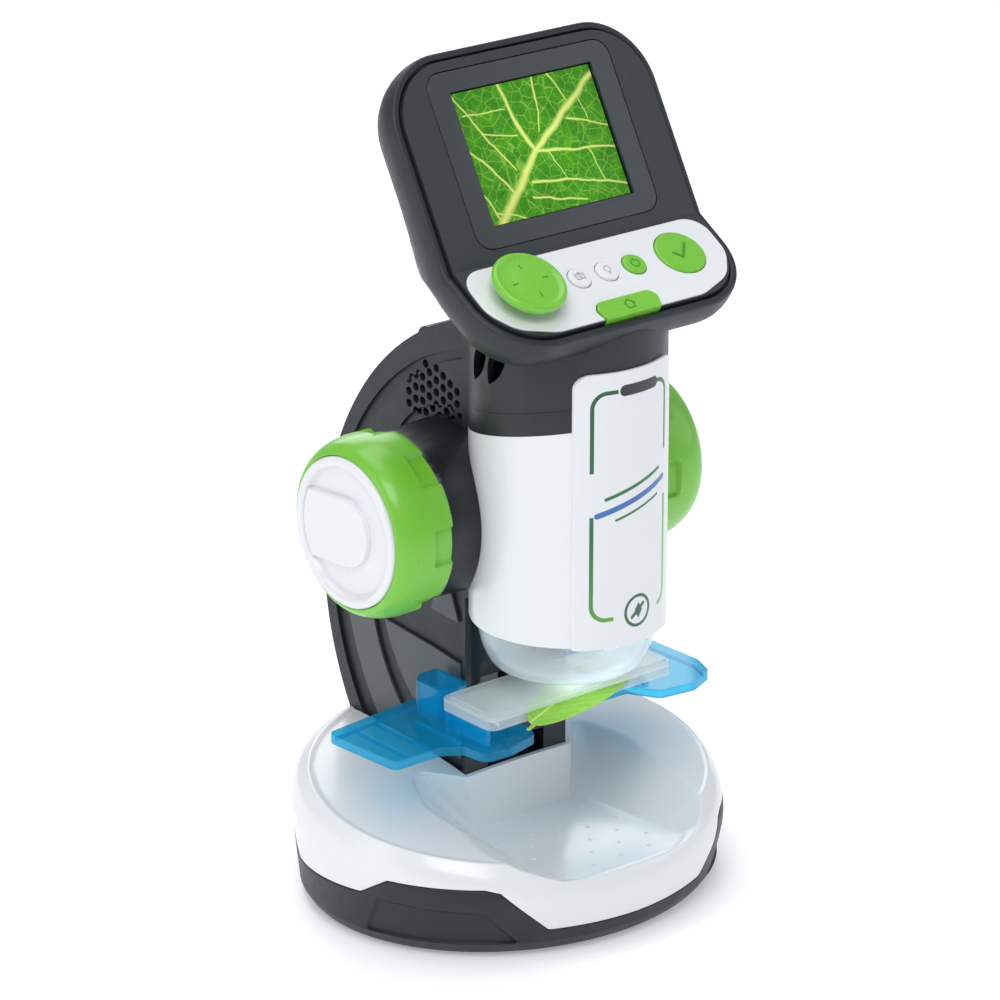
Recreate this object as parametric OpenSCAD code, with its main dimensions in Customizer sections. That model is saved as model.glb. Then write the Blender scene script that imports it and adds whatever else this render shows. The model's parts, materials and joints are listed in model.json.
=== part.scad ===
// Child's digital microscope: curved arm on a round base, a barrel with a
// clear light shroud, a tilted head with a colour screen and a button panel,
// and a stage that two side knobs raise and lower through a rack and pinion.
// Millimetres. X to the object's right, front is -Y, +Z up.
// The origin is the centre of the footprint, on the surface it stands on.

/* [Base] */
// Half width of the base at its foot
base_a = 61.1; // [60:0.1:62]
// Half depth of the base at its foot
base_b = 53.3; // [52:0.1:54]
// Height of the specimen tray floor
tray_z = 20; // [19.5:0.1:21]
// Wall thickness of the base shells
base_wall = 2.2; // [1.8:0.1:2.4]

/* [Arm and neck] */
// Half width of the arm
arm_x = 18; // [17.8:0.1:18.2]
// Radius of the arm's outer edge
arm_r = 89.2; // [88.5:0.1:90]
// Wall thickness of the arm shells
arm_wall = 2.6; // [2.2:0.1:2.8]

/* [Barrel] */
// Outer radius of the barrel and neck
barrel_r = 26.6; // [26.4:0.1:26.8]
// Height of the barrel's lower rim
barrel_z = 85.5; // [85:0.1:86]
// Thickness of the front shield
shield_t = 0.9; // [0.7:0.1:1.1]

/* [Screen head] */
// Lean of the screen back from vertical, degrees
screen_lean = 29.6; // [28.5:0.1:30.5]
// Visible width of the display
lcd_w = 48; // [46:0.5:49]
// Visible height of the display
lcd_h = 36.8; // [35:0.2:37]
// Half width of the head
head_x = 44.4; // [44:0.1:45]
// Travel of the push buttons
key_travel = 1; // [0.6:0.1:1.1]

/* [Focus drive] */
// Radius of the knob grip
knob_r = 25.2; // [24:0.1:25.5]
// Distance between the knobs' outer faces
knob_span = 109.6; // [108:0.2:111]
// Teeth on the focus pinion
pinion_teeth = 14; // [14:1:14]
// Module of the pinion and rack
gear_mod = 0.8; // [0.78:0.01:0.8]

/* [Stage] */
// Height of the stage plate's upper face
stage_z = 54; // [53:0.5:54.5]
// Half width of the stage across its wings
stage_x = 55.5; // [54:0.5:56]

/* [Hidden] */
$fn = 72;

// colours
c_char = [0.22, 0.24, 0.26]; c_black = [0.09, 0.1, 0.11]; c_white = [0.93, 0.94, 0.96];
c_green = [0.48, 0.79, 0.24]; c_grey = [0.4, 0.42, 0.44]; c_blue = [0.15, 0.7, 0.9, 0.7];
c_clear = [0.85, 0.92, 0.95, 0.45]; c_steel = [0.75, 0.76, 0.78]; c_slate = [0.2, 0.24, 0.28];
c_pcb = [0.08, 0.35, 0.2];

// ---------- point helpers ----------
function unit(v) = v / norm(v);
function fillet(p0, p1, p2, r, n) = r <= 0 ? [p1] :
  let(a = unit(p0 - p1), b = unit(p2 - p1), g = acos(max(-1, min(1, a * b))),
      c = p1 + unit(a + b) * (r / sin(g / 2)), s = p1 + a * (r / tan(g / 2)),
      e = p1 + b * (r / tan(g / 2)), a0 = atan2(s.y - c.y, s.x - c.x),
      a1 = atan2(e.y - c.y, e.x - c.x), da = ((a1 - a0 + 540) % 360) - 180)
  [for (i = [0:n]) c + r * [cos(a0 + da * i / n), sin(a0 + da * i / n)]];
function rpoly(p, r, n = 5) = [for (i = [0:len(p) - 1])
  each fillet(p[(i + len(p) - 1) % len(p)], p[i], p[(i + 1) % len(p)], is_list(r) ? r[i] : r, n)];
function inset(p, d) = [for (i = [0:len(p) - 1])
  let(a = unit(p[i] - p[(i + len(p) - 1) % len(p)]), b = unit(p[(i + 1) % len(p)] - p[i]),
      na = [-a.y, a.x], nb = [-b.y, b.x]) p[i] + (na + nb) * d / (1 + na * nb)];
function cen(r) = let(s = [for (p = r) 1] * r) s / len(r);
// right-half outline (front to back, +X side) mirrored into a closed counter-clockwise loop
function sym(p) = concat(p, [for (i = [len(p) - 1:-1:0]) [-p[i].x, p[i].y]]);

module loft(rings) {
  n = len(rings[0]); m = len(rings);
  pts = concat([for (r = rings) each r], [cen(rings[0]), cen(rings[m - 1])]);
  polyhedron(pts, concat(
    [for (j = [0:m - 2]) for (i = [0:n - 1]) each [
      [j * n + i, (j + 1) * n + i, (j + 1) * n + (i + 1) % n],
      [j * n + i, (j + 1) * n + (i + 1) % n, j * n + (i + 1) % n]]],
    [for (i = [0:n - 1]) [m * n, i, (i + 1) % n]],
    [for (i = [0:n - 1]) [m * n + 1, (m - 1) * n + (i + 1) % n, (m - 1) * n + i]]), convexity = 8);
}
// extrude a (Y,Z) outline along X
module yz(x0, x1) translate([x0, 0, 0]) rotate([90, 0, 90]) linear_extrude(x1 - x0) children();
// cylinder along X
module xcyl(x0, x1, r, y, z) translate([x0, y, z]) rotate([0, 90, 0]) cylinder(r = r, h = x1 - x0);
module box(a, b) translate(a) cube(b - a);

// ---------- base ----------
nb = 60;
kt = 0.14; // rise of the rim towards the back
// each row: height, half width, half depth, centre Y, tilt
K = [[1.2, base_a - 1.9, base_b - 1.9, -0.8, 0], [4.5, base_a + 0.2, base_b + 0.5, -0.8, 0],
     [24, base_a + 1.4, base_b + 4.5, 0, kt], [29.5, base_a + 0.3, base_b + 1.9, -0.6, kt],
     [32.8, base_a - 1.9, base_b - 2.7, -1, kt]];
function ell(a, b, yc, t) = [a * sin(t), yc - b * cos(t)];
function row(k, t, w) = let(p = ell(k[1] - w, k[2] - w, k[3], t)) [k[0] + k[4] * p.y, p.x, p.y];
function surf(t, z, w = 0) = let(q = [for (k = K) row(k, t, w)])
  [lookup(z, [for (s = q) [s[0], s[1]]]), lookup(z, [for (s = q) [s[0], s[2]]]), z];
// parting line height between the dark and the white shell, by angle from the front
function part_z(t) = let(u = abs(((t + 180) % 360) - 180))
  lookup(u, [[0, 7.6], [26, 8], [39, 20], [43, 21], [70, 21], [79, 15.5], [112, 13.2],
             [121, 21], [150, 21], [160, 11], [180, 10.5]]);
function ring_z(t, z, w) = [for (i = [0:nb - 1]) surf(i * 360 / nb, z, w)];
function rim(t, w) = row(K[4], t, w);
function dome(t, f, w, d) = let(p = ell((K[4][1] - w) * f, (K[4][2] - w) * f, K[4][3], t))
  [p.x, p.y, K[4][0] + kt * p.y + 4 * (1 - f * f) - d];
function up_ring(s, w, g, d) = [for (i = [0:nb - 1]) let(t = i * 360 / nb, z0 = part_z(t) + g,
  z1 = rim(t, w)[0] - d, z = z0 + (z1 - z0) * s, q = surf(t, z + d, w)) [q.x, q.y, z]];
module base_outer() loft(concat([for (s = [0, 0.3, 0.55, 0.75, 0.9, 1]) up_ring(s, 0, 0.15, 0)],
  [for (f = [0.85, 0.6, 0.3]) [for (i = [0:nb - 1]) dome(i * 360 / nb, f, 0, 0)]]));
module base_inner(w) loft(concat([for (s = [0, 0.3, 0.55, 0.75, 0.9, 1]) up_ring(s, w, -6, w)],
  [for (f = [0.85, 0.6, 0.3]) [for (i = [0:nb - 1]) dome(i * 360 / nb, f, w, w)]]));
// specimen tray recess: floor outline and mouth outline, matched point for point
tray_f = [[16, -50.5], [22.5, -45], [20.2, -10.5], [19.6, -8.8], [18.8, -7.6], [17.6, -7]];
tray_t = [[21, -58.6], [34, -45], [37, -9], [31, 2.6], [21.6, 2.6], [19.9, -4.7]];
tray_fr = [2.5, 2.5, 0.3, 0.3, 0.3, 0.3]; tray_tr = [4, 6, 6, 4, 1.5, 1.5];
function tray_ring(j, e, dz) = let(r = j == 0 ? tray_fr : tray_tr)
  [for (p = rpoly(inset(sym(j == 0 ? tray_f : tray_t), -e), concat(r, [for (i = [5:-1:0]) r[i]]), 4))
    [p.x, p.y, dz + (j == 0 ? tray_z : lookup(p.y, [[-58.6, 22.3], [-50, 24.9], [-45, 26.2], [-27, 30.2], [-9, 33.8], [-4.7, 35.2], [2.6, 35.8]]))]];
module tray_cut() loft([tray_ring(0, 0, 0), tray_ring(1, 0, 0), [for (p = tray_ring(1, 0, 0)) [p.x, p.y, 60]]]);
module tray_body() loft([tray_ring(0, 1.6, -1.9), tray_ring(1, 1.9, -1.9), [for (p = tray_ring(1, 1.9, 0)) [p.x, p.y, 60]]]);
boss_at = [[49, -13], [-49, -13], [43, 25], [-43, 25]];
module base_upper_shell() color(c_white) {
  difference() {
    union() {
      difference() { base_outer(); base_inner(base_wall); }
      intersection() { base_outer(); tray_body(); }
      for (p = boss_at) intersection() { base_outer(); translate([p.x, p.y, 8]) cylinder(r = 3.6, h = 30, $fn = 32); }
    }
    tray_cut();
    box([-arm_x - 0.08, -3.68, 26], [arm_x + 0.08, 40, 60]);
    yz(-arm_x - 0.08, arm_x + 0.08) arm2d(-0.08);
    for (p = boss_at) translate([p.x, p.y, 7]) cylinder(r = 1.3, h = 13, $fn = 24);
  }
}
module base_lower_shell() color(c_char) difference() {
  union() {
    difference() {
      loft(concat([[for (i = [0:nb - 1]) surf(i * 6, 1.2)], [for (i = [0:nb - 1]) surf(i * 6, 4.5)]],
        [for (s = [0.35, 0.7, 1]) [for (i = [0:nb - 1]) surf(i * 6, 4.5 + (part_z(i * 6) - 4.5) * s)]]));
      loft([[for (i = [0:nb - 1]) surf(i * 6, 3.2, base_wall)], [for (i = [0:nb - 1]) surf(i * 6, 4.5, base_wall)],
        [for (i = [0:nb - 1]) let(t = i * 6, p = surf(t, part_z(t), base_wall)) p],
        [for (i = [0:nb - 1]) let(t = i * 6, p = surf(t, part_z(t), base_wall)) [p.x, p.y, part_z(t) + 4]]]);
    }
    // battery box walls
    difference() { box([-32.4, -29.4, 2], [32.4, 29.4, 17.6]); box([-30.8, -27.8, 1], [30.8, 27.8, 20]); }
    for (p = boss_at) translate([p.x, p.y, 2]) cylinder(r = 4.4, h = 5.8, $fn = 32);
    // posts that carry the arm bracket
    for (p = [[24, 36], [-24, 36], [37, 8], [-37, 8]]) translate([p.x, p.y, 2]) cylinder(r = 3.8, h = 24, $fn = 32);
  }
  box([-30.8, -27.8, 0], [30.8, 27.8, 5]);
  box([-8.3, 27.5, 2.8], [8.3, 29.2, 3.15]);
  for (p = boss_at) translate([p.x, p.y, 0]) { cylinder(r = 1.7, h = 12, $fn = 24); cylinder(r = 3.2, h = 5, $fn = 32); }
  for (p = [[24, 36], [-24, 36], [37, 8], [-37, 8]]) translate([p.x, p.y, 12]) cylinder(r = 1.2, h = 20, $fn = 24);
}
module battery_door() color(c_char) difference() {
  union() { box([-30.6, -27.6, 1.3], [30.6, 27.6, 2.8]); box([-8, 27.6, 2.9], [8, 29, 3.1]); box([-8, 26, 2.8], [8, 27.6, 3.1]);
    for (x = [-21, -7, 7, 21]) box([x - 0.4, -26, 2.8], [x + 0.4, 26, 3.0]); }
  translate([0, -23.5, 0]) cylinder(r = 1.7, h = 6, $fn = 32);
  translate([0, -23.5, 0]) cylinder(r = 3, h = 2, $fn = 32);
}
module battery_door_screw() color(c_steel) translate([0, -23.5, 0]) {
  translate([0, 0, 1.4]) difference() { cylinder(r = 2.8, h = 0.6, $fn = 32); for (a = [0, 90]) rotate(a) translate([-1.6, -0.3, -1]) cube([3.2, 0.6, 1.3]); }
  translate([0, 0, 2]) cylinder(r = 1.5, h = 1.2, $fn = 24);
}
module battery_cells() for (i = [0:3]) let(x = -22.35 + i * 14.9, f = i % 2 == 0 ? 1 : -1)
  translate([x, 0, 10.4]) rotate([90 * f, 0, 0]) {
    color([0.16, 0.17, 0.2]) translate([0, 0, -24.6]) cylinder(r = 7.2, h = 37, $fn = 48);
    color([0.75, 0.5, 0.2]) translate([0, 0, 12.4]) cylinder(r = 7.2, h = 11.4, $fn = 48);
    color(c_steel) translate([0, 0, 23.8]) cylinder(r = 2.7, h = 1.2, $fn = 32);
  }
module battery_contacts() color(c_steel) for (i = [0:3]) let(x = -22.35 + i * 14.9, f = i % 2 == 0 ? 1 : -1) {
  for (s = [-1, 1]) box([x - 5, s > 0 ? 27 : -27.7, 5], [x + 5, s > 0 ? 27.7 : -27, 16]);
  translate([x, f * 24.6, 10.4]) rotate([-90 * f, 0, 0]) for (j = [0:2]) translate([0, 0, j * 0.8])
    rotate_extrude($fn = 32) translate([4.6 - j * 0.9, 0.4]) circle(r = 0.4, $fn = 16);
}
module rubber_feet() color([0.12, 0.12, 0.13]) for (p = [[40, -27, 1.2], [-40, -27, 1.2], [39, 30, 1.2], [-39, 30, 1.2], [0, 0, 1.3]])
  translate([p.x, p.y, 0]) rotate_extrude($fn = 48) polygon([[0, 0], [5.6, 0], [6.2, 0.5], [6.2, p.z], [0, p.z]]);
module screw(h, r = 1.2, hr = 2.8, hh = 1.8) { // head up at z = 0, shank down
  difference() { cylinder(r = hr, h = hh, $fn = 32);
    for (a = [0, 90]) rotate(a) translate([-hr * 0.6, -0.35, hh - 0.9]) cube([hr * 1.2, 0.7, 2]); }
  translate([0, 0, -h]) cylinder(r = r, h = h, $fn = 24);
}
module base_screws() color(c_steel) {
  for (p = boss_at) translate([p.x, p.y, 5]) rotate([180, 0, 0]) screw(11, 1.3, 2.9, 1.9);
  for (p = [[24, 36], [-24, 36], [37, 8], [-37, 8]]) translate([p.x, p.y, 28.5]) screw(10, 1.2, 2.6, 1.6);
}
module arm_base_bracket() color(c_steel) difference() {
  translate([0, 0, 26]) linear_extrude(2.5) polygon(rpoly(sym([[16.8, -1.5], [17.4, 3.2], [42, 3.4], [42, 13], [32, 24], [29, 41], [14, 43.5]]), 2, 4));
  for (p = [[24, 36], [-24, 36], [37, 8], [-37, 8]]) translate([p.x, p.y, 20]) cylinder(r = 1.3, h = 12, $fn = 24);
  for (s = [-1, 1]) translate([s * 9.5, 15, 20]) cylinder(r = 2, h = 12, $fn = 32);
  box([-5, 19.5, 20], [5, 32, 40]);
}

// ---------- arm ----------
kn_y = 2.6; kn_z = 113.6; // focus shaft axis
module arm2d(d) difference() {
  intersection() { translate([-30, 82.3]) circle(r = arm_r - d, $fn = 180); translate([-7 + d * 0, 28.5]) square([120, 160]); }
  translate([-20, -10]) square([20 - 3.6 + d, 98]);
}
module g1o() translate([-23.4, 82.9]) circle(r = 78.7, $fn = 160);
module g1i() translate([-23.7, 85.2]) circle(r = 73.8, $fn = 160);
module g2o() translate([-17.8, 84.1]) circle(r = 56.5, $fn = 140);
module g2i() translate([-14.3, 86]) circle(r = 48.8, $fn = 140);
module hub2d(r) translate([kn_y, kn_z]) circle(r = r, $fn = 96);
module side_recess() difference() { // sunk field on the arm's flank
  intersection() { g1o(); translate([-2.4, 20]) square([90, 150]); }
  hub2d(24.2);
  difference() { intersection() { g1i(); polygon([[-7, 143.1], [46, 114.5], [46, 180], [-7, 180]]); } hub2d(27); }
}
module inlay_a() difference() { intersection() { g1i(); translate([-2, 28.6]) square([90, 90]); } g2o(); hub2d(27);
  polygon([[-10, 143.6], [60, 105.9], [60, 200], [-10, 200]]); }
module inlay_b() intersection() { g2i(); polygon([[-1.4, 28.6], [60, 28.6], [60, 73.6], [32, 70.8], [9.7, 69], [-1.4, 67.5]]); }
module inlay_c() polygon([[-0.6, 79.4], [11.5, 80.1], [9.5, 85.8], [3.2, 88.8]]);
boss_arm = [[31, 118], [37, 60], [14, 157], [27, 40]];
cols = [3, 4, 5, 5, 5, 5, 4, 3];
module arm_half(s) {
  difference() {
    union() {
      difference() {
        yz(s < 0 ? -arm_x : 0, s < 0 ? 0 : arm_x) arm2d(0);
        difference() {
          yz(s < 0 ? -arm_x + arm_wall : -1, s < 0 ? 1 : arm_x - arm_wall) arm2d(arm_wall);
          translate([0, -25, 60]) cylinder(r = barrel_r + 2.1, h = 130, $fn = 128);
        }
      }
      for (p = boss_arm) xcyl(s < 0 ? -arm_x + 1 : 0, s < 0 ? 0 : arm_x - 1, 3.6, p.x, p.y);
      // shelf that holds the head of a guide rod
      intersection() { yz(s < 0 ? -arm_x + 1 : 5, s < 0 ? -5 : arm_x - 1) translate([11, 127]) square([9, 4]); yz(-40, 40) arm2d(1); }
    }
    translate([0, -25, 60]) cylinder(r = barrel_r + 0.1, h = 130, $fn = 128);
    yz(s < 0 ? -arm_x - 1 : arm_x - 1.1, s < 0 ? -arm_x + 1.1 : arm_x + 1) side_recess();
    xcyl(s < 0 ? -30 : 10, s < 0 ? -10 : 30, 4.5, kn_y, kn_z);
    box([-arm_x + arm_wall, -9, 104], [arm_x - arm_wall, 4.2, 123]);
    box([-10, -9, 35.5], [10, 2, 65]);
    translate([s * 9.5, 15, 100]) cylinder(r = 2, h = 30, $fn = 32);
    box([-1.8, -6, 150.5], [1.8, 5.5, 162]);
    for (p = boss_arm) if (s < 0) xcyl(-11, 1, 1.2, p.x, p.y); else { xcyl(-1, 30, 1.6, p.x, p.y); xcyl(11, 30, 3, p.x, p.y); }
    if (s < 0) for (i = [0:7]) for (j = [0:cols[i] - 1])
      xcyl(-30, -10, 1.2, -0.4 + 2.95 * i, 142.6 - i * 0.25 + 3.45 * (j - (cols[i] - 1) / 2) + ((i == 3 || i == 5) ? 1.7 : 0));
  }
}
module arm_left_shell() color(c_char) arm_half(-1);
module arm_right_shell() color(c_char) arm_half(1);
module arm_screws() color(c_steel) for (p = boss_arm) translate([11, p.x, p.y]) rotate([0, 90, 0]) screw(20, 1.2, 2.8, 2);
module inlay(s) color(c_grey) difference() {
  yz(s < 0 ? -arm_x : arm_x - 1.1, s < 0 ? -arm_x + 1.1 : arm_x) { inlay_a(); inlay_b(); inlay_c(); }
  if (s > 0) for (p = boss_arm) xcyl(10, 30, 3, p.x, p.y);
}
module arm_inlay_left() inlay(-1);
module arm_inlay_right() inlay(1);
module guide_rods() color(c_steel) for (s = [-1, 1]) translate([s * 9.5, 15, 26]) cylinder(r = 2, h = 104, $fn = 32);
module speaker() translate([-arm_x + arm_wall, 11.3, 142.4]) rotate([0, 90, 0]) {
  color(c_black) difference() { cylinder(r = 10.2, h = 2.4); translate([0, 0, -1]) cylinder(r = 8.8, h = 2.2); }
  color(c_steel) translate([0, 0, 2.4]) cylinder(r = 7.5, h = 2.8, $fn = 48);
}

// ---------- neck ----------
module tilt_below(z0) // everything under the sloped joint plane
  translate([0, -25, z0]) rotate([-atan(0.2), 0, 0]) translate([-80, -80, -160]) cube([160, 160, 160]);
module vent(s, z, y0) // one slanted leaf-shaped vent opening
  translate([s * 26, y0, z]) rotate([0, 90, 0]) rotate([0, 0, 24]) linear_extrude(16, center = true)
    intersection() { translate([0, 7.4]) circle(r = 10.2, $fn = 48); translate([0, -7.4]) circle(r = 10.2, $fn = 48); }
module neck_half(s) difference() {
  intersection() {
    translate([0, -25, 120]) cylinder(r = barrel_r, h = 90, $fn = 128);
    translate([s < 0 ? -60 : 0, -80, 100]) cube([60, 160, 140]);
  }
  head_form(-0.05, 12);
  on_panel() translate([-60, -90, 2]) cube([120, 200, 100]);
  box([-1.8, -6, 150.5], [1.8, 5.5, 162]);
  translate([0, -25, 100]) cylinder(r = barrel_r - 2.2, h = 120, $fn = 128);
  tilt_below(148.9);
  vent(s, 163, -27); vent(s, 162, -19.5);
}
module neck_left_shell() color(c_char) neck_half(-1);
module neck_right_shell() color(c_char) neck_half(1);
module neck_ring() color(c_black) difference() {
  intersection() { translate([0, -25, 130]) cylinder(r = barrel_r, h = 40, $fn = 128); tilt_below(148.9); }
  translate([0, -25, 100]) cylinder(r = barrel_r - 2.4, h = 90, $fn = 128);
  tilt_below(142.4);
}

// ---------- barrel ----------
module wedge(a) // sector about the barrel axis, a degrees each side of the front
  translate([0, -25, 0]) linear_extrude(300) polygon([[0, 0], [80 * tan(-a), -80], [80 * tan(a), -80]]);
module barrel_shell() color(c_white) difference() {
  union() {
    translate([0, -25, 0]) rotate_extrude($fn = 128) polygon([[24.5, 86.1], [25.2, barrel_z], [26, barrel_z], [26.45, 85.8], [barrel_r, 86.4], [barrel_r, 160], [24.5, 160]]);
    // inner ledge the shroud and the camera mount are fixed to
    translate([0, -25, 0]) rotate_extrude($fn = 128) polygon([[21.6, 99.4], [24.5, 96.8], [24.5, 99.6], [21.6, 99.6]]);
  }
  difference() { translate([0, 0, 0]) box([-60, -90, 130], [60, 60, 200]); tilt_below(142.4); }
  box([-arm_x + arm_wall, -12, 104], [arm_x - arm_wall, 10, 123]);
  // side finger scoops
  for (s = [-1, 1]) intersection() {
    difference() { translate([0, -25, 60]) cylinder(r = 40, h = 120); translate([0, -25, 60]) cylinder(r = barrel_r - 0.7, h = 120, $fn = 128); }
    translate([s * 26, -25.6, 0]) rotate([0, s * 90, 0]) linear_extrude(30, center = true) union() {
      translate([-106, 0]) circle(r = 6.4, $fn = 48); translate([-139, -6.4]) square([33, 12.8]); }
  }
}
module front_shield() color(c_white) intersection() {
  translate([0, -25, 0]) difference() { cylinder(r = barrel_r + shield_t, h = 300, $fn = 128); translate([0, 0, -1]) cylinder(r = barrel_r, h = 302, $fn = 128); }
  translate([0, -25, 0]) rotate([90, 0, 0]) linear_extrude(60) polygon(rpoly([[-16.5, 85.3], [16.5, 85.3], [16.5, 162.6], [-16.5, 162.6]], [0.6, 0.6, 4, 4], 6));
}
module light_shroud() color(c_clear) translate([0, -25, 0]) rotate_extrude($fn = 96)
  polygon([[24.35, 96.7], [24.35, 84], [23.7, 79.5], [21.9, 74.8], [20.4, 72.7], [18.8, 72], [15, 72], [15, 73.4], [18.4, 73.4],
           [19.5, 74], [20.6, 75.8], [22.2, 80], [22.8, 84.2], [22.8, 96.7]]);
module camera_mount() color(c_black) translate([0, -25, 0]) rotate_extrude($fn = 96)
  polygon([[10.6, 92], [12.6, 92], [12.6, 99.7], [24.4, 99.7], [24.4, 101.8], [10.6, 101.8]]);
module camera_board() translate([0, -25, 0]) {
  color(c_pcb) translate([0, 0, 101.8]) cylinder(r = 14.5, h = 1.5);
  color(c_black) translate([-4, -4, 99.6]) cube([8, 8, 2.2]);
  color(c_black) translate([-3.5, -9, 103.3]) cube([7, 4, 1.2]);
}
module objective_housing() color(c_grey) translate([0, -25, 0]) rotate_extrude($fn = 96)
  polygon([[4.6, 77.6], [7.6, 77.6], [8.4, 78.4], [10.5, 87], [10.5, 99.4], [8.6, 99.4], [8.6, 89.5], [4.6, 80.6]]);
module objective_lens() color([0.6, 0.75, 0.85, 0.5]) translate([0, -25, 0]) rotate_extrude($fn = 64)
  polygon([[0, 79.6], [3, 79.8], [4.55, 80.6], [5.4, 82.5], [0, 82.5]]);
module led_ring() translate([0, -25, 0]) {
  color(c_pcb) translate([0, 0, 90]) difference() { cylinder(r = 21.6, h = 1.2); translate([0, 0, -1]) cylinder(r = 12.6, h = 4); }
  for (a = [0:60:300]) rotate(a) translate([17.2, 0, 88.6]) { color([1, 1, 0.9]) cylinder(r = 1.9, h = 1.6, $fn = 24); }
}

// ---------- head ----------
// screen frame of reference: x right, y up the slope, z out of the glass
module on_screen() translate([0, -13.5, 214.5]) rotate([90 - screen_lean, 0, 0]) children();
// button panel frame of reference: y up the slope, z out of the panel
module on_panel() translate([0, -27.3, 190.15]) rotate([31, 0, 0]) children();
head_top = 29.6; head_low = 29.9; // from the display centre up, and from the crease down
module rbox(x, y0, y1, rt, rb, z0, z1) translate([0, 0, z0]) linear_extrude(z1 - z0)
  polygon(rpoly([[x, y0], [x, y1], [-x, y1], [-x, y0]], [rb, rt, rt, rb], 14));
// closed body of the head, inset by d on every side; f raises its front
// half profile of the head's side, falling from the rim to the back: edge position p, rim top, back
function fall(p, z1, dz) = [[p, z1], [p, dz[0]], [p - dz[1], dz[2]], [p - dz[3], dz[4]], [p - dz[5], dz[6]]];
module both(q) polygon(concat(q, [for (i = [len(q) - 1:-1:0]) [-q[i].x, q[i].y]]));
module head_upper(d, f) on_screen() let(g = [-3.5, 1.4, -8.5, 4.4, -13.5, 12.4, -22 + d]) intersection() {
  rbox(head_x - d, -75, head_top - d, 19.5 - d, 0, -22 + d, 0.5 + f);
  translate([0, 60, 0]) rotate([90, 0, 0]) linear_extrude(140) both(fall(head_x - d, 3 + f, g));
  rotate([90, 0, 90]) linear_extrude(120, center = true)
    polygon(concat(fall(head_top - d, 3 + f, g), [[-80, -22 + d], [-80, 3 + f]]));
}
module head_lower(d, f) on_panel() intersection() {
  rbox(head_x - d, -head_low + d, 60, 0, 19 - d, -14.6 + d, 0.5 + f);
  translate([0, 60, 0]) rotate([90, 0, 0]) linear_extrude(140)
    both(fall(head_x - d, 3 + f, [-3.6, 1, -7.5, 3.9, -11.8, 7.9, -14.6 + d]));
  rotate([90, 0, 90]) linear_extrude(120, center = true)
    polygon(concat([for (p = fall(head_low - d, 3 + f, [-3.6, 1.2, -7.7, 4.4, -12, 7.9, -14.6 + d])) [-p.x, p.y]], [[60, -14.6 + d], [60, 3 + f]]));
}
// keep only what lies above the screen part's and below the panel part's meeting plane
module crease(up) translate([0, -27.3, 190.15]) rotate([45.7, 0, 0]) translate([-90, up ? 0 : -120, -90]) cube([180, 120, 180]);
module head_form(d, f) {
  intersection() { head_upper(d, f); on_panel() translate([-60, -80, -14.6 + d]) cube([120, 200, 200]); crease(true); }
  intersection() { head_lower(d, f); on_screen() translate([-60, -120, -22 + d]) cube([120, 200, 200]); crease(false); }
}
hb = [[33.5, 17], [-33.5, 17], [35.5, -18], [-35.5, -18]];
module head_rear_shell() color(c_char) difference() {
  head_form(0, 0);
  difference() { union() { head_form(2, 12); } on_screen() for (p = hb) translate([p.x, p.y, -30]) cylinder(r = 3.4, h = 25.5, $fn = 32); }
  on_screen() for (p = hb) translate([p.x, p.y, -40]) { cylinder(r = 1.5, h = 50, $fn = 24); cylinder(r = 3, h = 31, $fn = 32); }
  // mouth over the neck for the wiring
  translate([0, -25, 150]) cylinder(r = 17, h = 38, $fn = 64);
  // sunk rear label field and vent slots
  on_screen() for (i = [-2:2]) translate([i * 7 - 1, -4, -26]) cube([2, 16, 6]);
}
// slab following the face of the head between depths z0 and z1, inset d
module face_slab(d, z0, z1) {
  intersection() { on_screen() rbox(head_x - d, -60, head_top - d, 19.5 - d, 0, z0, z1); crease(true); }
  intersection() { on_panel() rbox(head_x - d, -head_low + d, 60, 0, 19 - d, z0, z1); crease(false); }
}
ins = rpoly([[-41.2, -1.4], [-41.2, -15.5], [-36, -22.9], [-25, -26.8], [25, -26.8], [36, -22.9], [41.2, -15.5], [41.2, -1.4]], [6.5, 9, 10, 12, 12, 10, 9, 6.5], 7);
key_y = -12.1;
home_o = rpoly([[-8.6, -21.4], [-10.3, -23.8], [-9.2, -27.5], [9.2, -27.5], [10.3, -23.8], [8.6, -21.4]], [2.4, 1.6, 0.4, 0.4, 1.6, 2.4], 5);
module head_front_bezel() color(c_char) difference() {
  union() { face_slab(2.7, -1.2, 1.2); face_slab(2.06, -3.2, -1.2);
    on_screen() for (p = hb) translate([p.x, p.y, -4.4]) cylinder(r = 3.4, h = 3, $fn = 32); }
  on_screen() translate([0, 0, -10]) linear_extrude(30) polygon(rpoly([[31.2, -24.35], [31.2, 24.35], [-31.2, 24.35], [-31.2, -24.35]], 5, 6));
  on_panel() translate([0, 0, -1.2]) linear_extrude(20) polygon(inset(ins, -0.1));
  on_panel() translate([0, 0, -10]) linear_extrude(20) polygon(inset(ins, 1.6));
  on_panel() translate([0, 0, -10]) linear_extrude(30) polygon(inset(home_o, -0.25));
  on_screen() for (p = hb) translate([p.x, p.y, -8]) cylinder(r = 1.15, h = 6.4, $fn = 24);
}
module screen_frame() color(c_slate) on_screen() difference() {
  linear_extrude(1.2) polygon(rpoly([[31, -24.15], [31, 24.15], [-31, 24.15], [-31, -24.15]], 4.8, 6));
  translate([-lcd_w / 2, -lcd_h / 2, -1]) cube([lcd_w, lcd_h, 4]);
}
module lcd_panel() on_screen() {
  color([0.25, 0.55, 0.12]) translate([-29, -21, -2.6]) cube([58, 42, 2.6]);
}
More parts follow.
